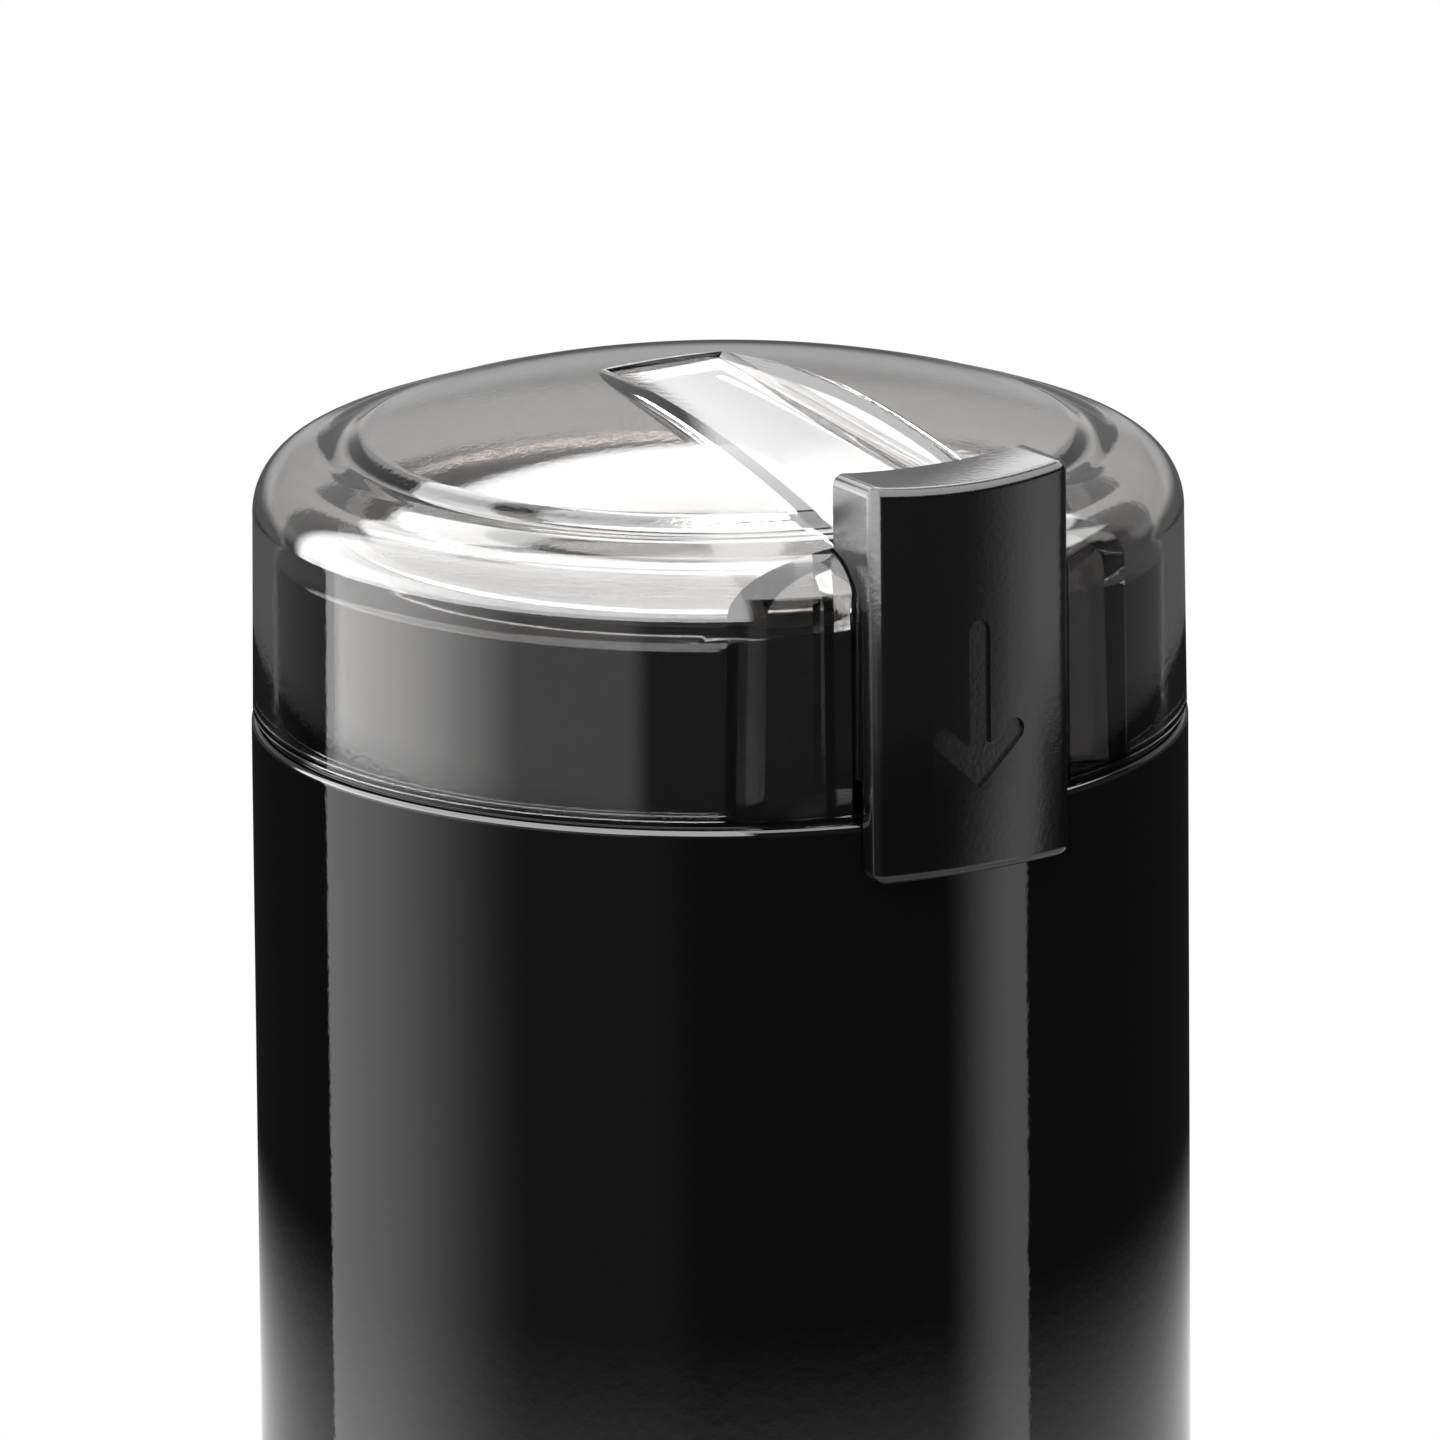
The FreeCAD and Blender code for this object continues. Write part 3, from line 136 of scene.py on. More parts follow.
def grain(material, scale, low, high, bump=0.0, bump_scale=None, stretch=(1, 1, 1)):
    """Uneven roughness from noise, and a fine bump of the moulded or cut surface."""
    shader = material.node_tree.nodes["Principled BSDF"]
    coords = add_node(material, "ShaderNodeTexCoord")
    mapping = add_node(material, "ShaderNodeMapping", Scale=stretch)
    noise = add_node(material, "ShaderNodeTexNoise", Scale=scale, Detail=4.0)
    spread = add_node(material, "ShaderNodeMapRange")
    spread.inputs["From Min"].default_value = 0.3
    spread.inputs["From Max"].default_value = 0.7
    spread.inputs["To Min"].default_value = low
    spread.inputs["To Max"].default_value = high
    wire(material, coords, "Object", mapping, "Vector")
    wire(material, mapping, "Vector", noise, "Vector")
    wire(material, noise, "Fac", spread, "Value")
    wire(material, spread, "Result", shader, "Roughness")
    if bump:
        fine = add_node(material, "ShaderNodeTexNoise", Scale=bump_scale or 4 * scale, Detail=3.0)
        relief = add_node(material, "ShaderNodeBump", Strength=bump, Distance=0.0002)
        wire(material, mapping, "Vector", fine, "Vector")
        wire(material, fine, "Fac", relief, "Height")
        wire(material, relief, "Normal", shader, "Normal")
    return material


gloss_black = grain(finish_of("gloss_black", GLOSS_BLACK, 0.03), 60, 0.018, 0.045, 0.03, 900)
tube_foot = BASE_TOP + JOINT_LINE
shell_outline = [(BODY_INSIDE, JOINT_LOW), (JOINT_RADIUS, JOINT_LOW), (JOINT_RADIUS, tube_foot)]
shell_outline += [(BODY_RADIUS - JOINT_EDGE, tube_foot), (BODY_RADIUS, BASE_TOP + JOINT_EDGE)]
shell_outline += [(BODY_RADIUS, BASE_TOP + 2 * EDGE_SUPPORT), (BODY_RADIUS, LEDGE - RIM_ROUND - EDGE_SUPPORT)]
rim_turn = math.degrees(math.acos((SEAT_RADIUS + CARRIER_FIT - BODY_RADIUS + RIM_ROUND) / RIM_ROUND))
shell_outline += arc(BODY_RADIUS - RIM_ROUND, LEDGE - RIM_ROUND, RIM_ROUND, 0, rim_turn, 10)
shell_outline += [(SEAT_RADIUS + CARRIER_FIT, LEDGE - FLANGE), (BODY_INSIDE, LEDGE - FLANGE)]
housing_case = as_piece(lathe(shell_outline, HOUSING_STEPS), "housing_case", gloss_black, "housing",
                        ["body_shell"])

# Base ring: the lowest part of the housing, moulded in the same gloss black, with
# a step for the tube's spigot and a hole at the back for the cord's gland.
INLET_HEIGHT = 12.0
INLET_RADIUS = 5.4
INLET_STEPS = 64
CUT_NEAR = 30
CUT_FAR = 60
ring_outline = [(BODY_INSIDE, BODY_BOTTOM)]
ring_outline += arc(BODY_RADIUS - FOOT_ROUND, BODY_BOTTOM + FOOT_ROUND, FOOT_ROUND, -90, 0, 4)
ring_outline += [(BODY_RADIUS, BODY_BOTTOM + FOOT_ROUND + EDGE_SUPPORT), (BODY_RADIUS, BASE_TOP - JOINT_EDGE)]
ring_outline += [(BODY_RADIUS - JOINT_EDGE, BASE_TOP), (JOINT_RADIUS + CARRIER_FIT, BASE_TOP)]
ring_outline += [(JOINT_RADIUS + CARRIER_FIT, JOINT_LOW - CARRIER_FIT)]
ring_outline += [(BODY_INSIDE, JOINT_LOW - CARRIER_FIT)]


def carve(bm, cutter, operation="DIFFERENCE"):
    """Cut one closed form with another, both in millimetres, and return the result."""
    pair = []
    for name, form in (("blank", bm), ("cutter", cutter)):
        mesh = bpy.data.meshes.new(name)
        form.to_mesh(mesh)
        form.free()
        pair.append(bpy.data.objects.new(name, mesh))
        bpy.context.scene.collection.objects.link(pair[-1])
    blank, tool = pair
    cut = blank.modifiers.new("cut", "BOOLEAN")
    cut.operation = operation
    cut.solver = "EXACT"
    cut.object = tool
    evaluated = blank.evaluated_get(bpy.context.evaluated_depsgraph_get())
    result = bmesh.new()
    result.from_mesh(evaluated.to_mesh())
    for item in pair:
        mesh = item.data
        bpy.data.objects.remove(item)
        bpy.data.meshes.remove(mesh)
    return result


inlet_outline = [(0, CUT_NEAR), (INLET_RADIUS, CUT_NEAR), (INLET_RADIUS, CUT_FAR), (0, CUT_FAR)]
inlet = lathe(inlet_outline, INLET_STEPS, False)
bmesh.ops.rotate(inlet, cent=(0, 0, 0), matrix=Matrix.Rotation(-math.pi / 2, 3, "X"), verts=inlet.verts)
bmesh.ops.translate(inlet, vec=(0, 0, INLET_HEIGHT), verts=inlet.verts)
foot_ring = as_piece(carve(lathe(ring_outline, HOUSING_STEPS), inlet), "foot_ring", gloss_black, "housing",
                     ["base_ring"])

# Bowl carrier: the ring welded into the housing's mouth, in the same gloss black,
# with the seat for the lid, the neck that the lid slips over and its front flat.
SEAM_SUPPORT = 0.3
NECK_RIM = 2.0
NECK_MIDDLE = NECK_INSIDE + 0.4
NEAR = 0.05
carrier_outline = [(NECK_INSIDE, LEDGE - FLANGE), (SEAT_RADIUS, LEDGE - FLANGE), (SEAT_RADIUS, SEAM)]
carrier_outline += [(NECK_RADIUS, SEAM), (NECK_RADIUS, SEAM + SEAM_SUPPORT)]
carrier_outline += [(NECK_RADIUS, NECK_TOP - NECK_ROUND - EDGE_SUPPORT)]
carrier_outline += arc(NECK_RADIUS - NECK_ROUND, NECK_TOP - NECK_ROUND, NECK_ROUND, 0, 90, 6)
carrier_outline += [(NECK_HOLE, NECK_TOP), (NECK_HOLE, NECK_TOP - NECK_RIM)]
carrier_outline += [(NECK_INSIDE, NECK_TOP - NECK_RIM)]
carrier = lathe(carrier_outline, HOUSING_STEPS)
for plane in (NECK_FLAT, NECK_FLAT - FLAT_WALL):
    whole = carrier.verts[:] + carrier.edges[:] + carrier.faces[:]
    bmesh.ops.bisect_plane(carrier, geom=whole, dist=0.0001, plane_co=(0, -plane, 0), plane_no=(0, 1, 0))
for vert in carrier.verts:
    radius = math.hypot(vert.co.x, vert.co.y)
    if vert.co.z > SEAM - NEAR and NECK_MIDDLE < radius < SEAT_RADIUS - NEAR:
        vert.co.y = max(vert.co.y, -NECK_FLAT)
    elif NECK_HOLE + NEAR < radius < NECK_MIDDLE:
        vert.co.y = max(vert.co.y, -(NECK_FLAT - FLAT_WALL))
neck_carrier = as_piece(carrier, "neck_carrier", gloss_black, "housing", ["bowl_carrier"])

# Motor: laminated iron, enamelled copper, a moulded lower bracket and a pressed
# steel upper one, clamped by two through bolts. It hangs from a plate on rubber.
WOUND = (1, 1, 6)
STACKED = (1, 1, 12)
copper = finish_of("enamelled_copper", (0.45, 0.16, 0.06, 1), 0.3, 0.85)
copper = grain(copper, 300, 0.22, 0.38, 0.5, 1400, WOUND)
iron_sheet = finish_of("iron_laminations", (0.12, 0.12, 0.125, 1), 0.5, 0.9)
iron_sheet = grain(iron_sheet, 200, 0.4, 0.6, 0.6, 500, STACKED)
zinc_steel = grain(finish_of("zinc_steel", (0.42, 0.42, 0.43, 1), 0.35, 1.0), 150, 0.25, 0.42, 0.15, 800)
sintered_bronze = finish_of("sintered_bronze", (0.42, 0.26, 0.12, 1), 0.45, 0.9)
sintered_bronze = grain(sintered_bronze, 400, 0.35, 0.55, 0.4, 1600)
bakelite = grain(finish_of("brown_bakelite", (0.05, 0.022, 0.012, 1), 0.35), 120, 0.28, 0.42, 0.1, 700)
carbon = grain(finish_of("brush_carbon", (0.018, 0.018, 0.02, 1), 0.5), 500, 0.4, 0.6, 0.3, 2000)
grey_nylon = grain(finish_of("grey_nylon", (0.25, 0.25, 0.24, 1), 0.45), 120, 0.38, 0.52, 0.15, 900)
black_rubber = grain(finish_of("black_rubber", (0.012, 0.012, 0.012, 1), 0.7), 200, 0.6, 0.8, 0.3, 900)


def paint(material, *names):
    """Give carried-over nodes their finish."""
    for name in names:
        mesh = nodes[name].data
        mesh.materials.clear()
        mesh.materials.append(material)


paint(iron_sheet, "stator_core", "armature_core")
paint(copper, "field_coils", "armature_winding", "commutator")
paint(zinc_steel, "upper_bearing_bracket", "motor_bolts", "rotor_shaft", "mount_screws", "bush_screws",
      "brush_springs", "base_screws")
paint(sintered_bronze, "upper_bearing", "lower_bearing", "brush_holders")
paint(bakelite, "lower_bearing_bracket")
paint(carbon, "carbon_brushes")
paint(grey_nylon, "motor_mount_plate", "cooling_fan")
paint(black_rubber, "motor_bushes", "shaft_seal", "bowl_gasket")

# Switch gear: a small microswitch screwed to a folded sheet, worked by a
# nylon plunger on a spring, with a terminal block and a film capacitor below.
blue_film = grain(finish_of("blue_film_case", (0.02, 0.06, 0.25, 1), 0.3), 100, 0.22, 0.36, 0.1, 700)
paint(zinc_steel, "switch_bracket", "switch_screws", "plunger_spring")
paint(bakelite, "microswitch")
paint(sintered_bronze, "switch_terminals")
paint(grey_nylon, "switch_plunger", "terminal_block")
paint(blue_film, "suppression_capacitor")

# Bowl, blade and nut: a drawn cup of stainless steel, brushed round the axis on
# its inside, and a two-winged knife held on the shaft by a domed nut.
BOWL_RADIUS = 33.0
BOWL_WALL = 0.6
BOWL_CORNER = 11.0
BOWL_FLOOR = 101.4
BOWL_RIM = 151.3
BOWL_FLANGE = 35.2
BOWL_HOLE = 4.5
BOWL_FLAT = 21
BOWL_STEPS = 180
LIP_ROUND = 0.5
BRUSHED = (0.15, 0.15, 12)
stainless = finish_of("drawn_stainless", (0.58, 0.57, 0.56, 1), 0.22, 1.0)
stainless = grain(stainless, 90, 0.16, 0.3, 0.25, 260, BRUSHED)
corner_r = BOWL_RADIUS - BOWL_CORNER
corner_z = BOWL_FLOOR + BOWL_WALL + BOWL_CORNER
bowl_outline = [(BOWL_HOLE, BOWL_FLOOR), (BOWL_FLAT, BOWL_FLOOR)]
bowl_outline += arc(corner_r, corner_z, BOWL_CORNER + BOWL_WALL, -90, 0, 16)
bowl_outline += [(BOWL_RADIUS + BOWL_WALL, BOWL_RIM - EDGE_SUPPORT)]
bowl_outline += [(BOWL_RADIUS + BOWL_WALL + EDGE_SUPPORT / 2, BOWL_RIM)]
bowl_outline += arc(BOWL_FLANGE - BOWL_WALL / 2, BOWL_RIM + BOWL_WALL / 2, BOWL_WALL / 2, -90, 90, 8)
bowl_outline += arc(BOWL_RADIUS + LIP_ROUND, BOWL_RIM + BOWL_WALL - LIP_ROUND, LIP_ROUND, 90, 180, 5)
bowl_outline += [(BOWL_RADIUS, BOWL_RIM - 2 * LIP_ROUND)]
bowl_outline += arc(corner_r, corner_z, BOWL_CORNER, 0, -90, 16)
bowl_outline += [(BOWL_FLAT, BOWL_FLOOR + BOWL_WALL), (BOWL_HOLE, BOWL_FLOOR + BOWL_WALL)]
steel_bowl = as_piece(lathe(bowl_outline, BOWL_STEPS), "steel_bowl", stainless, "housing",
                      ["grinding_bowl"])
paint(stainless, "grinding_blade", "blade_nut")

# Lid: a dome, shoulder and wall injection-moulded in smoked clear plastic, with a
# flat wall behind the button, two return walls and a finger groove in its top.
LID_STEPS = 256
LID_RADIUS = 44.0
LID_SHOULDER_RADIUS = 43.8
LID_WALL = 1.9
LID_APEX = 165.6
DOME_RADIUS = 113.0
SHOULDER = 5.7
CHANNEL_BACK = 37.9
CHORD_WALL = 1.7
CHANNEL_HALF = 11.0
RETURN_WALL = 2.0
WALL_DRAFT = 0.1
DRAFT_START = 9
SHOULDER_SUPPORT = 0.6
GROOVE_BACK = 9.6
GROOVE_DEPTH_BACK = 0.5
GROOVE_DEPTH_FRONT = 0.6
GROOVE_HALF_BACK = 6.4
GROOVE_HALF_FRONT = 8.6
GROOVE_FLARE = 0.45
GROOVE_CORNER = 0.8
GROOVE_OVERRUN = 3
GROOVE_TOP = LID_APEX + 4
CUT_TOP = LID_APEX + 6
CREASE_PLACE = 35.5
CREASE_HALF = 2.5
CREASE_DEPTH = 0.5
EDGE_RADIUS = 0.6
SMOKE = (0.66, 0.645, 0.635, 1)


def dome_outline(inset, bottom):
    """Half-section of the lid's outline, filled, moved inwards by a wall."""
    centre = LID_APEX - DOME_RADIUS
    bend_r = LID_SHOULDER_RADIUS - SHOULDER
    bend_z = centre + math.sqrt((DOME_RADIUS - SHOULDER) ** 2 - bend_r ** 2)
    tilt = math.degrees(math.atan2(bend_z - centre, bend_r))
    points = [(0, bottom), (LID_RADIUS - inset, bottom), (LID_RADIUS - inset, SEAM + SEAM_SUPPORT)]
    points += [(LID_RADIUS - inset - WALL_DRAFT, SEAM + DRAFT_START)]
    points += [(LID_SHOULDER_RADIUS - inset, bend_z - SHOULDER_SUPPORT)]
    points += arc(bend_r, bend_z, SHOULDER - inset, 0, tilt, 20)
    for r, z in arc(0, centre, DOME_RADIUS - inset, tilt, 90, 240)[1:]:
        near = min(abs(r - CREASE_PLACE) / CREASE_HALF, 1)
        crease = CREASE_DEPTH / 2 * (1 + math.cos(math.pi * near)) if inset == 0 else 0
        points.append((r, z - crease))
    return points


def slab(x_low, x_high, y_low, y_high, z_low, z_high):
    """A box as a bmesh, in millimetres."""
    bm = bmesh.new()
    bmesh.ops.create_cube(bm, size=1)
    bmesh.ops.scale(bm, vec=(x_high - x_low, y_high - y_low, z_high - z_low), verts=bm.verts)
    middle = ((x_low + x_high) / 2, (y_low + y_high) / 2, (z_low + z_high) / 2)
    bmesh.ops.translate(bm, vec=middle, verts=bm.verts)
    return bm


def prism(plan, z_low, z_high):
    """An upright form over a plan outline of (x, y) points."""
    bm = bmesh.new()
    floor = bm.faces.new([bm.verts.new((x, y, z_low)) for x, y in plan])
    raised = bmesh.ops.extrude_face_region(bm, geom=[floor])["geom"]
    tops = [item for item in raised if isinstance(item, bmesh.types.BMVert)]
    bmesh.ops.translate(bm, vec=(0, 0, z_high - z_low), verts=tops)
    bmesh.ops.recalc_face_normals(bm, faces=bm.faces)
    return bm


def dome_height(distance):
    """Height of the dome's top at a distance from the axis."""
    return LID_APEX - DOME_RADIUS + math.sqrt(DOME_RADIUS ** 2 - distance ** 2)


def groove_form(inset):
    """The finger groove as a closed form with rounded floor corners."""
    start = dome_height(GROOVE_BACK) - GROOVE_DEPTH_BACK
    run = CHANNEL_BACK + GROOVE_BACK
    slope = (dome_height(CHANNEL_BACK) - GROOVE_DEPTH_FRONT - start) / run
    bm = bmesh.new()
    loops = []
    for distance in (-GROOVE_BACK - inset, CHANNEL_BACK + GROOVE_OVERRUN):
        floor = start + slope * (distance + GROOVE_BACK) - inset
        widening = (GROOVE_HALF_FRONT - GROOVE_HALF_BACK) * (distance + GROOVE_BACK) / run
        half = GROOVE_HALF_BACK + widening + inset
        wide = half + GROOVE_FLARE * (GROOVE_TOP - floor)
        corners = [(-wide, GROOVE_TOP), (-half, floor), (half, floor), (wide, GROOVE_TOP)]
        loops.append([bm.verts.new((x, -distance, z)) for x, z in corners])
    ends = [bm.faces.new(loops[0]), bm.faces.new(loops[1])]
    edges = [edge for face in ends for edge in face.edges]
    bmesh.ops.bridge_loops(bm, edges=edges)
    bmesh.ops.recalc_face_normals(bm, faces=bm.faces)
    floor_edges = []
    for edge in bm.edges:
        along = abs(edge.verts[0].co.y - edge.verts[1].co.y) > run / 2
        if along and max(v.co.z for v in edge.verts) < GROOVE_TOP - 1:
            floor_edges.append(edge)
    bmesh.ops.bevel(bm, geom=floor_edges, offset=GROOVE_CORNER + inset, segments=6, profile=0.5,
                    affect="EDGES", material=-1)
    return bm


smoked_clear = finish_of("smoked_clear", SMOKE, 0.0, 0.0, 1.49)
smoked_clear.node_tree.nodes["Principled BSDF"].inputs["Transmission Weight"].default_value = 1.0
grain(smoked_clear, 80, 0.0, 0.02, 0.02, 1500)
chord_inside = CHANNEL_BACK - CHORD_WALL
cavity = carve(lathe(dome_outline(LID_WALL, SEAM - 1), LID_STEPS, False), groove_form(LID_WALL))
cavity = carve(cavity, slab(-CUT_FAR, CUT_FAR, -CHANNEL_BACK, -chord_inside, SEAM - 2, CUT_TOP))
guard = CHANNEL_HALF + RETURN_WALL
cavity = carve(cavity, slab(-guard, guard, -CUT_FAR, -chord_inside - 0.5, SEAM - 2, CUT_TOP))
dome = carve(lathe(dome_outline(0, SEAM), LID_STEPS, False), groove_form(0))
dome = carve(dome, cavity)
edge_y = -math.sqrt((LID_SHOULDER_RADIUS - EDGE_RADIUS) ** 2 - (CHANNEL_HALF + EDGE_RADIUS) ** 2)
edge_arc = [(CHANNEL_HALF + EDGE_RADIUS + x, edge_y + y) for x, y in arc(0, 0, EDGE_RADIUS, 180, 256, 8)]
notch_side = [(CHANNEL_HALF, -CHANNEL_BACK)] + edge_arc + [(edge_arc[-1][0], -CUT_FAR)]
notch_plan = notch_side + [(-x, y) for x, y in reversed(notch_side)]
dome = carve(dome, prism(notch_plan, SEAM - 1, CUT_TOP))
smoked_lid = as_piece(dome, "smoked_lid", smoked_clear, "lid", ["lid_shell"], 24)
paint(smoked_clear, "button_guide")
paint(zinc_steel, "button_springs")

# Push button: a tall moulded tower in satin-gloss black that follows the lid's
# round front, with a dished top for the fingertip and a sunk arrow, matt inside.
BUTTON_FRONT = 46.45
BUTTON_HALF = 10.75
BUTTON_BACK = 38.2
BUTTON_BOTTOM = 127.7
BUTTON_TOP = 165.7
BUTTON_WALL = 2.0
APRON = 44.43
SKIRT = SEAM + 3.3
DISH = 0.6
DISH_STRIPS = 19
CORNER = 1.5
EDGE_ROUND = 1.1
FACE_CORNER = 1.8
ARROW_FACE = BUTTON_FRONT - 0.35
ARROW_TIP = SEAM + 1.9
ARROW_TOP = SEAM + 18.0
ARROW_HALF = 3.8
ARROW_ARM = 5.1
STROKE = 2.3
satin_black = grain(finish_of("satin_black", (0.0045, 0.0046, 0.005, 1), 0.16), 70, 0.13, 0.19, 0.06, 1600)
matt_arrow = grain(finish_of("matt_arrow", (0.005, 0.005, 0.005, 1), 0.3), 200, 0.26, 0.36, 0.2, 1800)


def drum(radius, low, high):
    """A finely divided cylinder on the lid's axis."""
    return lathe([(0, low), (radius, low), (radius, high), (0, high)], 720, False)


def bar(start, end, width):
    """A stroke of the arrow in the X-Z plane, round at its start, deep along Y."""
    bm = bmesh.new()
    turn = math.atan2(end[1] - start[1], end[0] - start[0])
    length = math.hypot(end[0] - start[0], end[1] - start[1])
    outline = [(length, -width / 2), (length, width / 2)]
    outline += [(x, z) for x, z in arc(0, 0, width / 2, 90, 270, 12)]
    face = bm.faces.new([bm.verts.new((x, -CUT_NEAR, z)) for x, z in outline])
    deep = bmesh.ops.extrude_face_region(bm, geom=[face])["geom"]
    far_side = [item for item in deep if isinstance(item, bmesh.types.BMVert)]
    bmesh.ops.translate(bm, vec=(0, CUT_NEAR - CUT_FAR, 0), verts=far_side)
    bmesh.ops.rotate(bm, cent=(0, 0, 0), matrix=Matrix.Rotation(-turn, 3, "Y"), verts=bm.verts)
    bmesh.ops.translate(bm, vec=(start[0], 0, start[1]), verts=bm.verts)
    bmesh.ops.recalc_face_normals(bm, faces=bm.faces)
    return bm


def wedge(half, top, tip):
    """The arrow's point, a three-sided prism deep along Y."""
    bm = bmesh.new()
    face = bm.faces.new([bm.verts.new((x, -CUT_NEAR, z)) for x, z in ((-half, top), (half, top), (0, tip))])
    deep = bmesh.ops.extrude_face_region(bm, geom=[face])["geom"]
    far_side = [item for item in deep if isinstance(item, bmesh.types.BMVert)]
    bmesh.ops.translate(bm, vec=(0, CUT_NEAR - CUT_FAR, 0), verts=far_side)
    bmesh.ops.recalc_face_normals(bm, faces=bm.faces)
    return bm


corner_x = BUTTON_HALF - CORNER
corner_y = math.sqrt((BUTTON_FRONT - CORNER) ** 2 - corner_x ** 2)
corner_turn = math.degrees(math.atan2(-corner_y, corner_x))
side_arc = arc(corner_x, -corner_y, CORNER, 0, corner_turn, 8)
front_edge = BUTTON_FRONT * math.cos(math.radians(corner_turn))
strip_places = [front_edge * (1 - i / DISH_STRIPS) for i in range(1, 2 * DISH_STRIPS)]
plan = [(BUTTON_HALF, -BUTTON_BACK)] + side_arc
plan += [(x, -math.sqrt(BUTTON_FRONT ** 2 - x ** 2)) for x in strip_places]
plan += [(-x, y) for x, y in reversed(side_arc)] + [(-BUTTON_HALF, -BUTTON_BACK)]
tower = prism(plan, BUTTON_BOTTOM, BUTTON_TOP)
edges = []
for edge in tower.edges:
    level = abs(edge.verts[0].co.z - edge.verts[1].co.z) < 0.01
    if level and min(v.co.y for v in edge.verts) < -BUTTON_BACK - 0.01:
        edges.append(edge)
bmesh.ops.bevel(tower, geom=edges, offset=EDGE_ROUND, segments=6, profile=0.5, affect="EDGES", material=-1)
for place in strip_places:
    whole = tower.verts[:] + tower.edges[:] + tower.faces[:]
    bmesh.ops.bisect_plane(tower, geom=whole, dist=0.001, plane_co=(place, 0, 0), plane_no=(1, 0, 0))
for vert in tower.verts:
    if vert.co.z > BUTTON_TOP - 3:
        vert.co.z -= DISH * (1 - (vert.co.x / BUTTON_HALF) ** 2)
half = BUTTON_HALF - FACE_CORNER
low_z = BUTTON_BOTTOM + FACE_CORNER
high_z = BUTTON_TOP + 1 - FACE_CORNER
face_plan = arc(half, -low_z, FACE_CORNER, 90, 0, 8) + arc(half, -high_z, FACE_CORNER, 0, -90, 8)
face_plan += arc(-half, -high_z, FACE_CORNER, -90, -180, 8) + arc(-half, -low_z, FACE_CORNER, 180, 90, 8)
face_form = prism(face_plan, -CUT_FAR, 0)
upright = Matrix.Rotation(-math.pi / 2, 3, "X")
bmesh.ops.rotate(face_form, cent=(0, 0, 0), matrix=upright, verts=face_form.verts)
bmesh.ops.translate(face_form, vec=(0, -2, 0), verts=face_form.verts)
tower = carve(tower, face_form, "INTERSECT")
tower = carve(tower, drum(APRON, BUTTON_BOTTOM - 5, SKIRT))
inner = BUTTON_HALF - BUTTON_WALL
hollow = carve(drum(APRON, SKIRT - 1, BUTTON_TOP - BUTTON_WALL - DISH),
               slab(-inner, inner, -CUT_FAR, -BUTTON_BACK + 1, 100, 200), "INTERSECT")
tower = carve(tower, hollow)
arm_root = ARROW_TIP + STROKE * math.sqrt(0.5)
strokes = [bar((0, ARROW_TOP - STROKE / 2), (0, arm_root), STROKE)]
strokes += [bar((side * ARROW_HALF, ARROW_TIP + ARROW_ARM), (0, arm_root), STROKE) for side in (-1, 1)]
arrow = carve(strokes[0], strokes[1], "UNION")
arrow = carve(arrow, strokes[2], "UNION")
arrow = carve(arrow, wedge(STROKE * 0.7, arm_root, ARROW_TIP), "UNION")
arrow = carve(arrow, drum(ARROW_FACE, 100, 200))
tower = carve(tower, arrow)
bmesh.ops.remove_doubles(tower, verts=tower.verts, dist=0.002)
button_tower = as_piece(tower, "button_tower", satin_black, "button")
button_tower.data.materials.append(matt_arrow)
for polygon in button_tower.data.polygons:
    place = polygon.center / MM
    on_floor = abs(math.hypot(place.x, place.y) - ARROW_FACE) < 0.06 and polygon.normal.y < -0.9
    if on_floor and abs(place.x) < 6 and place.y < -45 and place.z < ARROW_TOP + 1:
        polygon.material_index = 1

# Leg, rib and shelf inside the button, moulded with it: the leg reaches down to
# the plunger, and the shelf bears on the two springs.
LEG_HALF = 1.5
LEG_DEPTH = 2.0
LEG_FOOT = LEDGE - 2.4
LEG_TOP = BUTTON_TOP - 2.4
RIB_HALF = 0.8
RIB_FOOT = SEAM + 8.3
SHELF_FRONT = 43.5
SHELF_HEIGHT = SEAM + 19
SHELF_THICK = 1.5
SHELF_FIT = 0.02
leg = slab(-LEG_HALF, LEG_HALF, -BUTTON_BACK - LEG_DEPTH, -BUTTON_BACK, LEG_FOOT, LEG_TOP)
rib = slab(-RIB_HALF, RIB_HALF, -APRON + 0.1, -BUTTON_BACK - 1.5, RIB_FOOT, BUTTON_TOP - 2.5)
shelf_half = inner - SHELF_FIT
shelf = slab(-shelf_half, shelf_half, -SHELF_FRONT, -BUTTON_BACK, SHELF_HEIGHT, SHELF_HEIGHT + SHELF_THICK)
button_leg = as_piece(carve(carve(leg, rib, "UNION"), shelf, "UNION"), "button_leg", satin_black, "button")
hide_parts("push_button")

# Base cover, feet and gland: a ribbed cover with cooling slots, four soft feet
# pressed into it, and the rubber gland through which a cord would enter.
black_cover = grain(finish_of("black_cover", (0.012, 0.012, 0.012, 1), 0.45), 90, 0.38, 0.52, 0.25, 1200)
paint(black_cover, "base_cover")
paint(black_rubber, "rubber_feet", "cord_gland")

# Studio: a pale table, a light tent that shows only in gloss, two soft lamps and
# the camera at the photograph's place.
CAMERA_AZIMUTH = math.radians(31.2)
CAMERA_ELEVATION = math.radians(14.879)
CAMERA_DISTANCE = 2.14808
CAMERA_PITCH = math.radians(0.0489)
CAMERA_ROLL = math.radians(-0.4949)
CAMERA_LENS = 570.0
TENT_RADIUS = 0.22
TENT_WALL = 0.30
TENT_CENTRE = 0.150
TABLE_RADIUS = 12
TABLE_FADE = (0.10, 0.19)
TABLE_GREY = (0.86, 0.86, 0.86, 1)
LAMP_SIZE = 0.9
ROOM_LIGHT = 0.55
ROOM_SEEN = 0.45

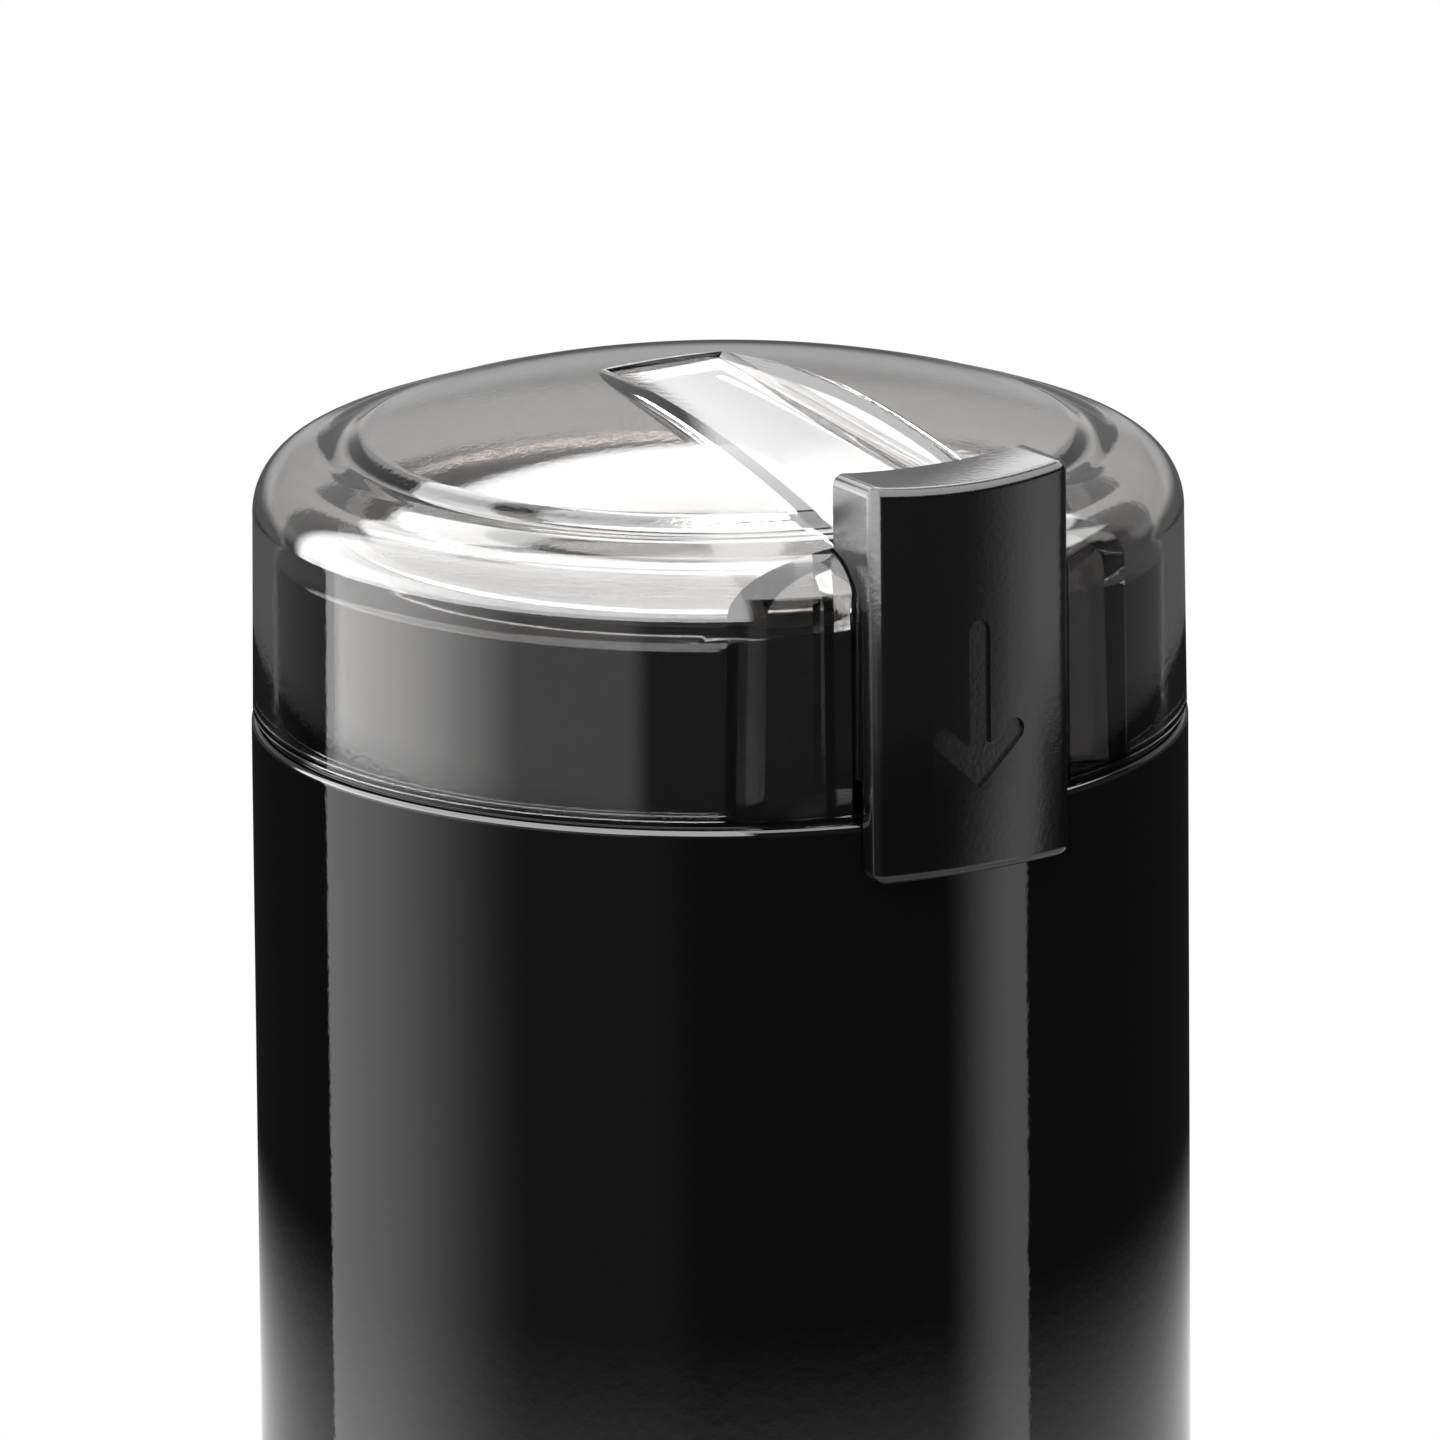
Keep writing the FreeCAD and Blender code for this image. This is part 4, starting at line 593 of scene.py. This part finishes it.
# The tent's light: heights in metres, turns and rises in degrees. A pair is where
# a change starts and ends, and a stripe is its two edges and their softness.
LOW_CARDS_END = (0.0880, 0.0864)
LEFT_EDGE = (-104.6, -103.6)
LEFT_LOW_FADE = (-42, -88)
LEFT_LOW_LIGHT = 1.6
LEFT_FAINT_STRIPE = (-104, -9, 0.5, 6)
LEFT_FAINT_LIGHT = 0.08
LEFT_HIGH_FADE = (-32, -86)
LEFT_HIGH_LIGHT = 3.1
PLATEAU_STRIPE = (-104, -18, 0.5, 3)
PLATEAU_LIGHT = 0.55
HIGH_BASE_LIGHT = 0.1
RIGHT_LOW_RISE = (50, 69)
RIGHT_LOW_END = (73.6, 72.8)
RIGHT_HIGH_RISE = (54, 73)
RIGHT_HIGH_END = (79.4, 78.6)
RIGHT_LIGHT = 1.38
CARDS_TOP = (12, 6)
BEHIND = (112, 118)
BACK_WALL_RISE = (-3, 3)
BACK_WALL_LIGHT = 0.42
BACK_PANEL_RISE = (37.5, 39.5)
PANEL_GAP_STRIPE = (54, 62, 1.5, 1.5)
GROOVE_CARD_STRIPE = (-1, 9.5, 1.5, 1.5)
GROOVE_CARD_RISE = (26, 28)
GROOVE_CARD_SHARE = 0.78
FRONT_LOW_RISE = (0.1195, 0.1225)
FRONT_LOW_END = (8, 5)
FRONT_LOW_SHARE = 1.5
FRONT_PANEL_RISE = (24, 27)
PANEL_LIGHT = 6.0
FOOT_FADE = (0.034, 0.002)
TENT_SHADE = 0.015


def number(material, operation, first, second=None):
    """A math node fed by sockets or plain numbers; returns its output socket."""
    node = material.node_tree.nodes.new("ShaderNodeMath")
    node.operation = operation
    for index, value in enumerate((first, second)):
        if value is None:
            continue
        if isinstance(value, (int, float)):
            node.inputs[index].default_value = value
        else:
            material.node_tree.links.new(value, node.inputs[index])
    return node.outputs[0]


def ramp(material, value, low, high):
    """0 below low, 1 above high, and an even change between them."""
    node = material.node_tree.nodes.new("ShaderNodeMapRange")
    node.interpolation_type = "SMOOTHSTEP"
    node.inputs["From Min"].default_value = low
    node.inputs["From Max"].default_value = high
    material.node_tree.links.new(value, node.inputs["Value"])
    return node.outputs["Result"]


def band(material, value, low, high, soft_low, soft_high):
    """1 between low and high, with soft edges."""
    rise = ramp(material, value, low - soft_low, low + soft_low)
    fall = ramp(material, value, high + soft_high, high - soft_high)
    return number(material, "MULTIPLY", rise, fall)


def emission_surface(name):
    """An empty material for stage pieces: itself, its node tree and its output."""
    material = bpy.data.materials.new(name)
    material.use_nodes = True
    tree = material.node_tree
    tree.nodes.clear()
    output = tree.nodes.new("ShaderNodeOutputMaterial")
    return material, tree, output


table_paint, tree, output = emission_surface("pale_table")
paths = tree.nodes.new("ShaderNodeLightPath")
coords = tree.nodes.new("ShaderNodeTexCoord")
length = tree.nodes.new("ShaderNodeVectorMath")
length.operation = "LENGTH"
tree.links.new(coords.outputs["Object"], length.inputs[0])
far = ramp(table_paint, length.outputs["Value"], *TABLE_FADE)
seen = number(table_paint, "MAXIMUM", paths.outputs["Is Camera Ray"], paths.outputs["Is Transmission Ray"])
seen = number(table_paint, "MAXIMUM", seen, paths.outputs["Is Glossy Ray"])
plain = tree.nodes.new("ShaderNodeBsdfDiffuse")
plain.inputs["Color"].default_value = TABLE_GREY
glow = tree.nodes.new("ShaderNodeEmission")
mix = tree.nodes.new("ShaderNodeMixShader")
tree.links.new(number(table_paint, "MULTIPLY", far, seen), mix.inputs[0])
tree.links.new(plain.outputs[0], mix.inputs[1])
tree.links.new(glow.outputs[0], mix.inputs[2])
tree.links.new(mix.outputs[0], output.inputs["Surface"])
ground = bmesh.new()
bmesh.ops.create_circle(ground, cap_ends=True, segments=64, radius=TABLE_RADIUS)
ground_mesh = bpy.data.meshes.new("table")
ground.to_mesh(ground_mesh)
ground.free()
ground_mesh.materials.append(table_paint)
table = bpy.data.objects.new("table", ground_mesh)
bpy.context.scene.collection.objects.link(table)

tent_cloth, tree, output = emission_surface("tent_cloth")
paths = tree.nodes.new("ShaderNodeLightPath")
coords = tree.nodes.new("ShaderNodeTexCoord")
turned = tree.nodes.new("ShaderNodeMapping")
turned.inputs["Rotation"].default_value = (0, 0, CAMERA_AZIMUTH)
place = tree.nodes.new("ShaderNodeSeparateXYZ")
tree.links.new(coords.outputs["Object"], turned.inputs["Vector"])
tree.links.new(turned.outputs["Vector"], place.inputs["Vector"])
across, depth, height = place.outputs["X"], place.outputs["Y"], place.outputs["Z"]


def times(first, second):
    return number(tent_cloth, "MULTIPLY", first, second)


def plus(first, second):
    return number(tent_cloth, "ADD", first, second)


def brighter(first, second):
    return number(tent_cloth, "MAXIMUM", first, second)


def rest_of(value):
    return number(tent_cloth, "SUBTRACT", 1.0, value)


def fade(value, pair):
    return ramp(tent_cloth, value, *pair)


def stripe(value, edges):
    return band(tent_cloth, value, *edges)


def degrees_of(opposite, adjacent):
    return times(number(tent_cloth, "ARCTAN2", opposite, adjacent), 180 / math.pi)


azimuth = degrees_of(across, times(depth, -1.0))
back_turn = degrees_of(across, depth)
flat = number(tent_cloth, "SQRT", plus(times(across, across), times(depth, depth)))
elevation = degrees_of(number(tent_cloth, "SUBTRACT", height, TENT_CENTRE), flat)
low_part = fade(height, LOW_CARDS_END)
left_edge = fade(azimuth, LEFT_EDGE)
left_low = times(times(left_edge, fade(azimuth, LEFT_LOW_FADE)), LEFT_LOW_LIGHT)
left_low = plus(left_low, times(stripe(azimuth, LEFT_FAINT_STRIPE), LEFT_FAINT_LIGHT))
left_high = times(times(left_edge, fade(azimuth, LEFT_HIGH_FADE)), LEFT_HIGH_LIGHT)
left_high = brighter(left_high, times(stripe(azimuth, PLATEAU_STRIPE), PLATEAU_LIGHT))
left_high = plus(left_high, HIGH_BASE_LIGHT)
right_low = times(times(fade(azimuth, RIGHT_LOW_RISE), RIGHT_LIGHT), fade(azimuth, RIGHT_LOW_END))
right_high = times(times(fade(azimuth, RIGHT_HIGH_RISE), RIGHT_LIGHT), fade(azimuth, RIGHT_HIGH_END))
low_cards = times(plus(left_low, right_low), low_part)
high_cards = times(plus(left_high, right_high), rest_of(low_part))
cards = times(plus(low_cards, high_cards), fade(elevation, CARDS_TOP))
behind = fade(number(tent_cloth, "ABSOLUTE", azimuth), BEHIND)
back_wall = times(times(behind, fade(elevation, BACK_WALL_RISE)), BACK_WALL_LIGHT)
back_panel = times(fade(elevation, BACK_PANEL_RISE), behind)
back_panel = times(back_panel, rest_of(stripe(elevation, PANEL_GAP_STRIPE)))
groove_card = times(fade(elevation, GROOVE_CARD_RISE), GROOVE_CARD_SHARE)
groove_card = times(stripe(back_turn, GROOVE_CARD_STRIPE), groove_card)
front_low = times(fade(height, FRONT_LOW_RISE), times(fade(azimuth, FRONT_LOW_END), FRONT_LOW_SHARE))
front_panel = times(brighter(front_low, fade(elevation, FRONT_PANEL_RISE)), rest_of(behind))
overhead = times(brighter(brighter(back_panel, groove_card), front_panel), PANEL_LIGHT)
side = plus(plus(cards, back_wall), fade(height, FOOT_FADE))
light = plus(plus(side, overhead), TENT_SHADE)
mirrored = number(tent_cloth, "GREATER_THAN", paths.outputs["Glossy Depth"], 0.5)
glow = tree.nodes.new("ShaderNodeEmission")
clear = tree.nodes.new("ShaderNodeBsdfTransparent")
mix = tree.nodes.new("ShaderNodeMixShader")
tree.links.new(light, glow.inputs["Strength"])
tree.links.new(mirrored, mix.inputs[0])
tree.links.new(clear.outputs[0], mix.inputs[1])
tree.links.new(glow.outputs[0], mix.inputs[2])
tree.links.new(mix.outputs[0], output.inputs["Surface"])
tent_outline = [(TENT_RADIUS / MM, 1), (TENT_RADIUS / MM, TENT_WALL / MM)]
tent_outline += arc(0, TENT_WALL / MM, TENT_RADIUS / MM, 0, 90, 24)[1:]
tent_form = lathe(tent_outline, 96, False)
bmesh.ops.scale(tent_form, vec=(MM, MM, MM), verts=tent_form.verts)
tent_mesh = bpy.data.meshes.new("light_tent")
tent_form.to_mesh(tent_mesh)
tent_form.free()
tent_mesh.materials.append(tent_cloth)
tent = bpy.data.objects.new("light_tent", tent_mesh)
bpy.context.scene.collection.objects.link(tent)
tent.visible_camera = False
tent.visible_diffuse = False
tent.visible_shadow = False

for name, place, power in (("soft_lamp_left", (-0.9, -0.5, 1.3), 7.0),
                           ("soft_lamp_right", (1.0, -0.2, 1.4), 5.0)):
    lamp = bpy.data.lights.new(name, "AREA")
    lamp.size = LAMP_SIZE
    lamp.energy = power
    holder = bpy.data.objects.new(name, lamp)
    aim = Vector((0, 0, 0.1)) - Vector(place)
    holder.matrix_world = Matrix.Translation(place) @ aim.to_track_quat("-Z", "Y").to_matrix().to_4x4()
    holder.visible_glossy = False
    bpy.context.scene.collection.objects.link(holder)

world = bpy.data.worlds.new("white_room")
bpy.context.scene.world = world
world.use_nodes = True
tree = world.node_tree
paths = tree.nodes.new("ShaderNodeLightPath")
seen = number(world, "MAXIMUM", paths.outputs["Is Camera Ray"], paths.outputs["Is Transmission Ray"])
seen = number(world, "MAXIMUM", seen, paths.outputs["Is Glossy Ray"])
strength = number(world, "ADD", number(world, "MULTIPLY", seen, ROOM_SEEN), ROOM_LIGHT)
tree.nodes["Background"].inputs["Color"].default_value = (1, 1, 1, 1)
tree.links.new(strength, tree.nodes["Background"].inputs["Strength"])

lens = bpy.data.cameras.new("camera")
lens.lens = CAMERA_LENS
lens.sensor_width = 36
lens.clip_start = 0.1
lens.clip_end = 50
camera = bpy.data.objects.new("camera", lens)
bpy.context.scene.collection.objects.link(camera)
level = Vector((-math.sin(CAMERA_AZIMUTH), -math.cos(CAMERA_AZIMUTH), 0))
back = level * math.cos(CAMERA_ELEVATION) + Vector((0, 0, math.sin(CAMERA_ELEVATION)))
eye = Vector((0, 0, SEAM * MM)) + back * CAMERA_DISTANCE
down = CAMERA_ELEVATION + CAMERA_PITCH
forward = -level * math.cos(down) - Vector((0, 0, math.sin(down)))
right = forward.cross(Vector((0, 0, 1))).normalized()
up = right.cross(forward)
right_rolled = right * math.cos(CAMERA_ROLL) + up * math.sin(CAMERA_ROLL)
up_rolled = -right * math.sin(CAMERA_ROLL) + up * math.cos(CAMERA_ROLL)
turn = Matrix((right_rolled, up_rolled, -forward)).transposed()
camera.matrix_world = Matrix.Translation(eye) @ turn.to_4x4()
bpy.context.scene.camera = camera
bpy.context.scene.view_settings.view_transform = "Standard"
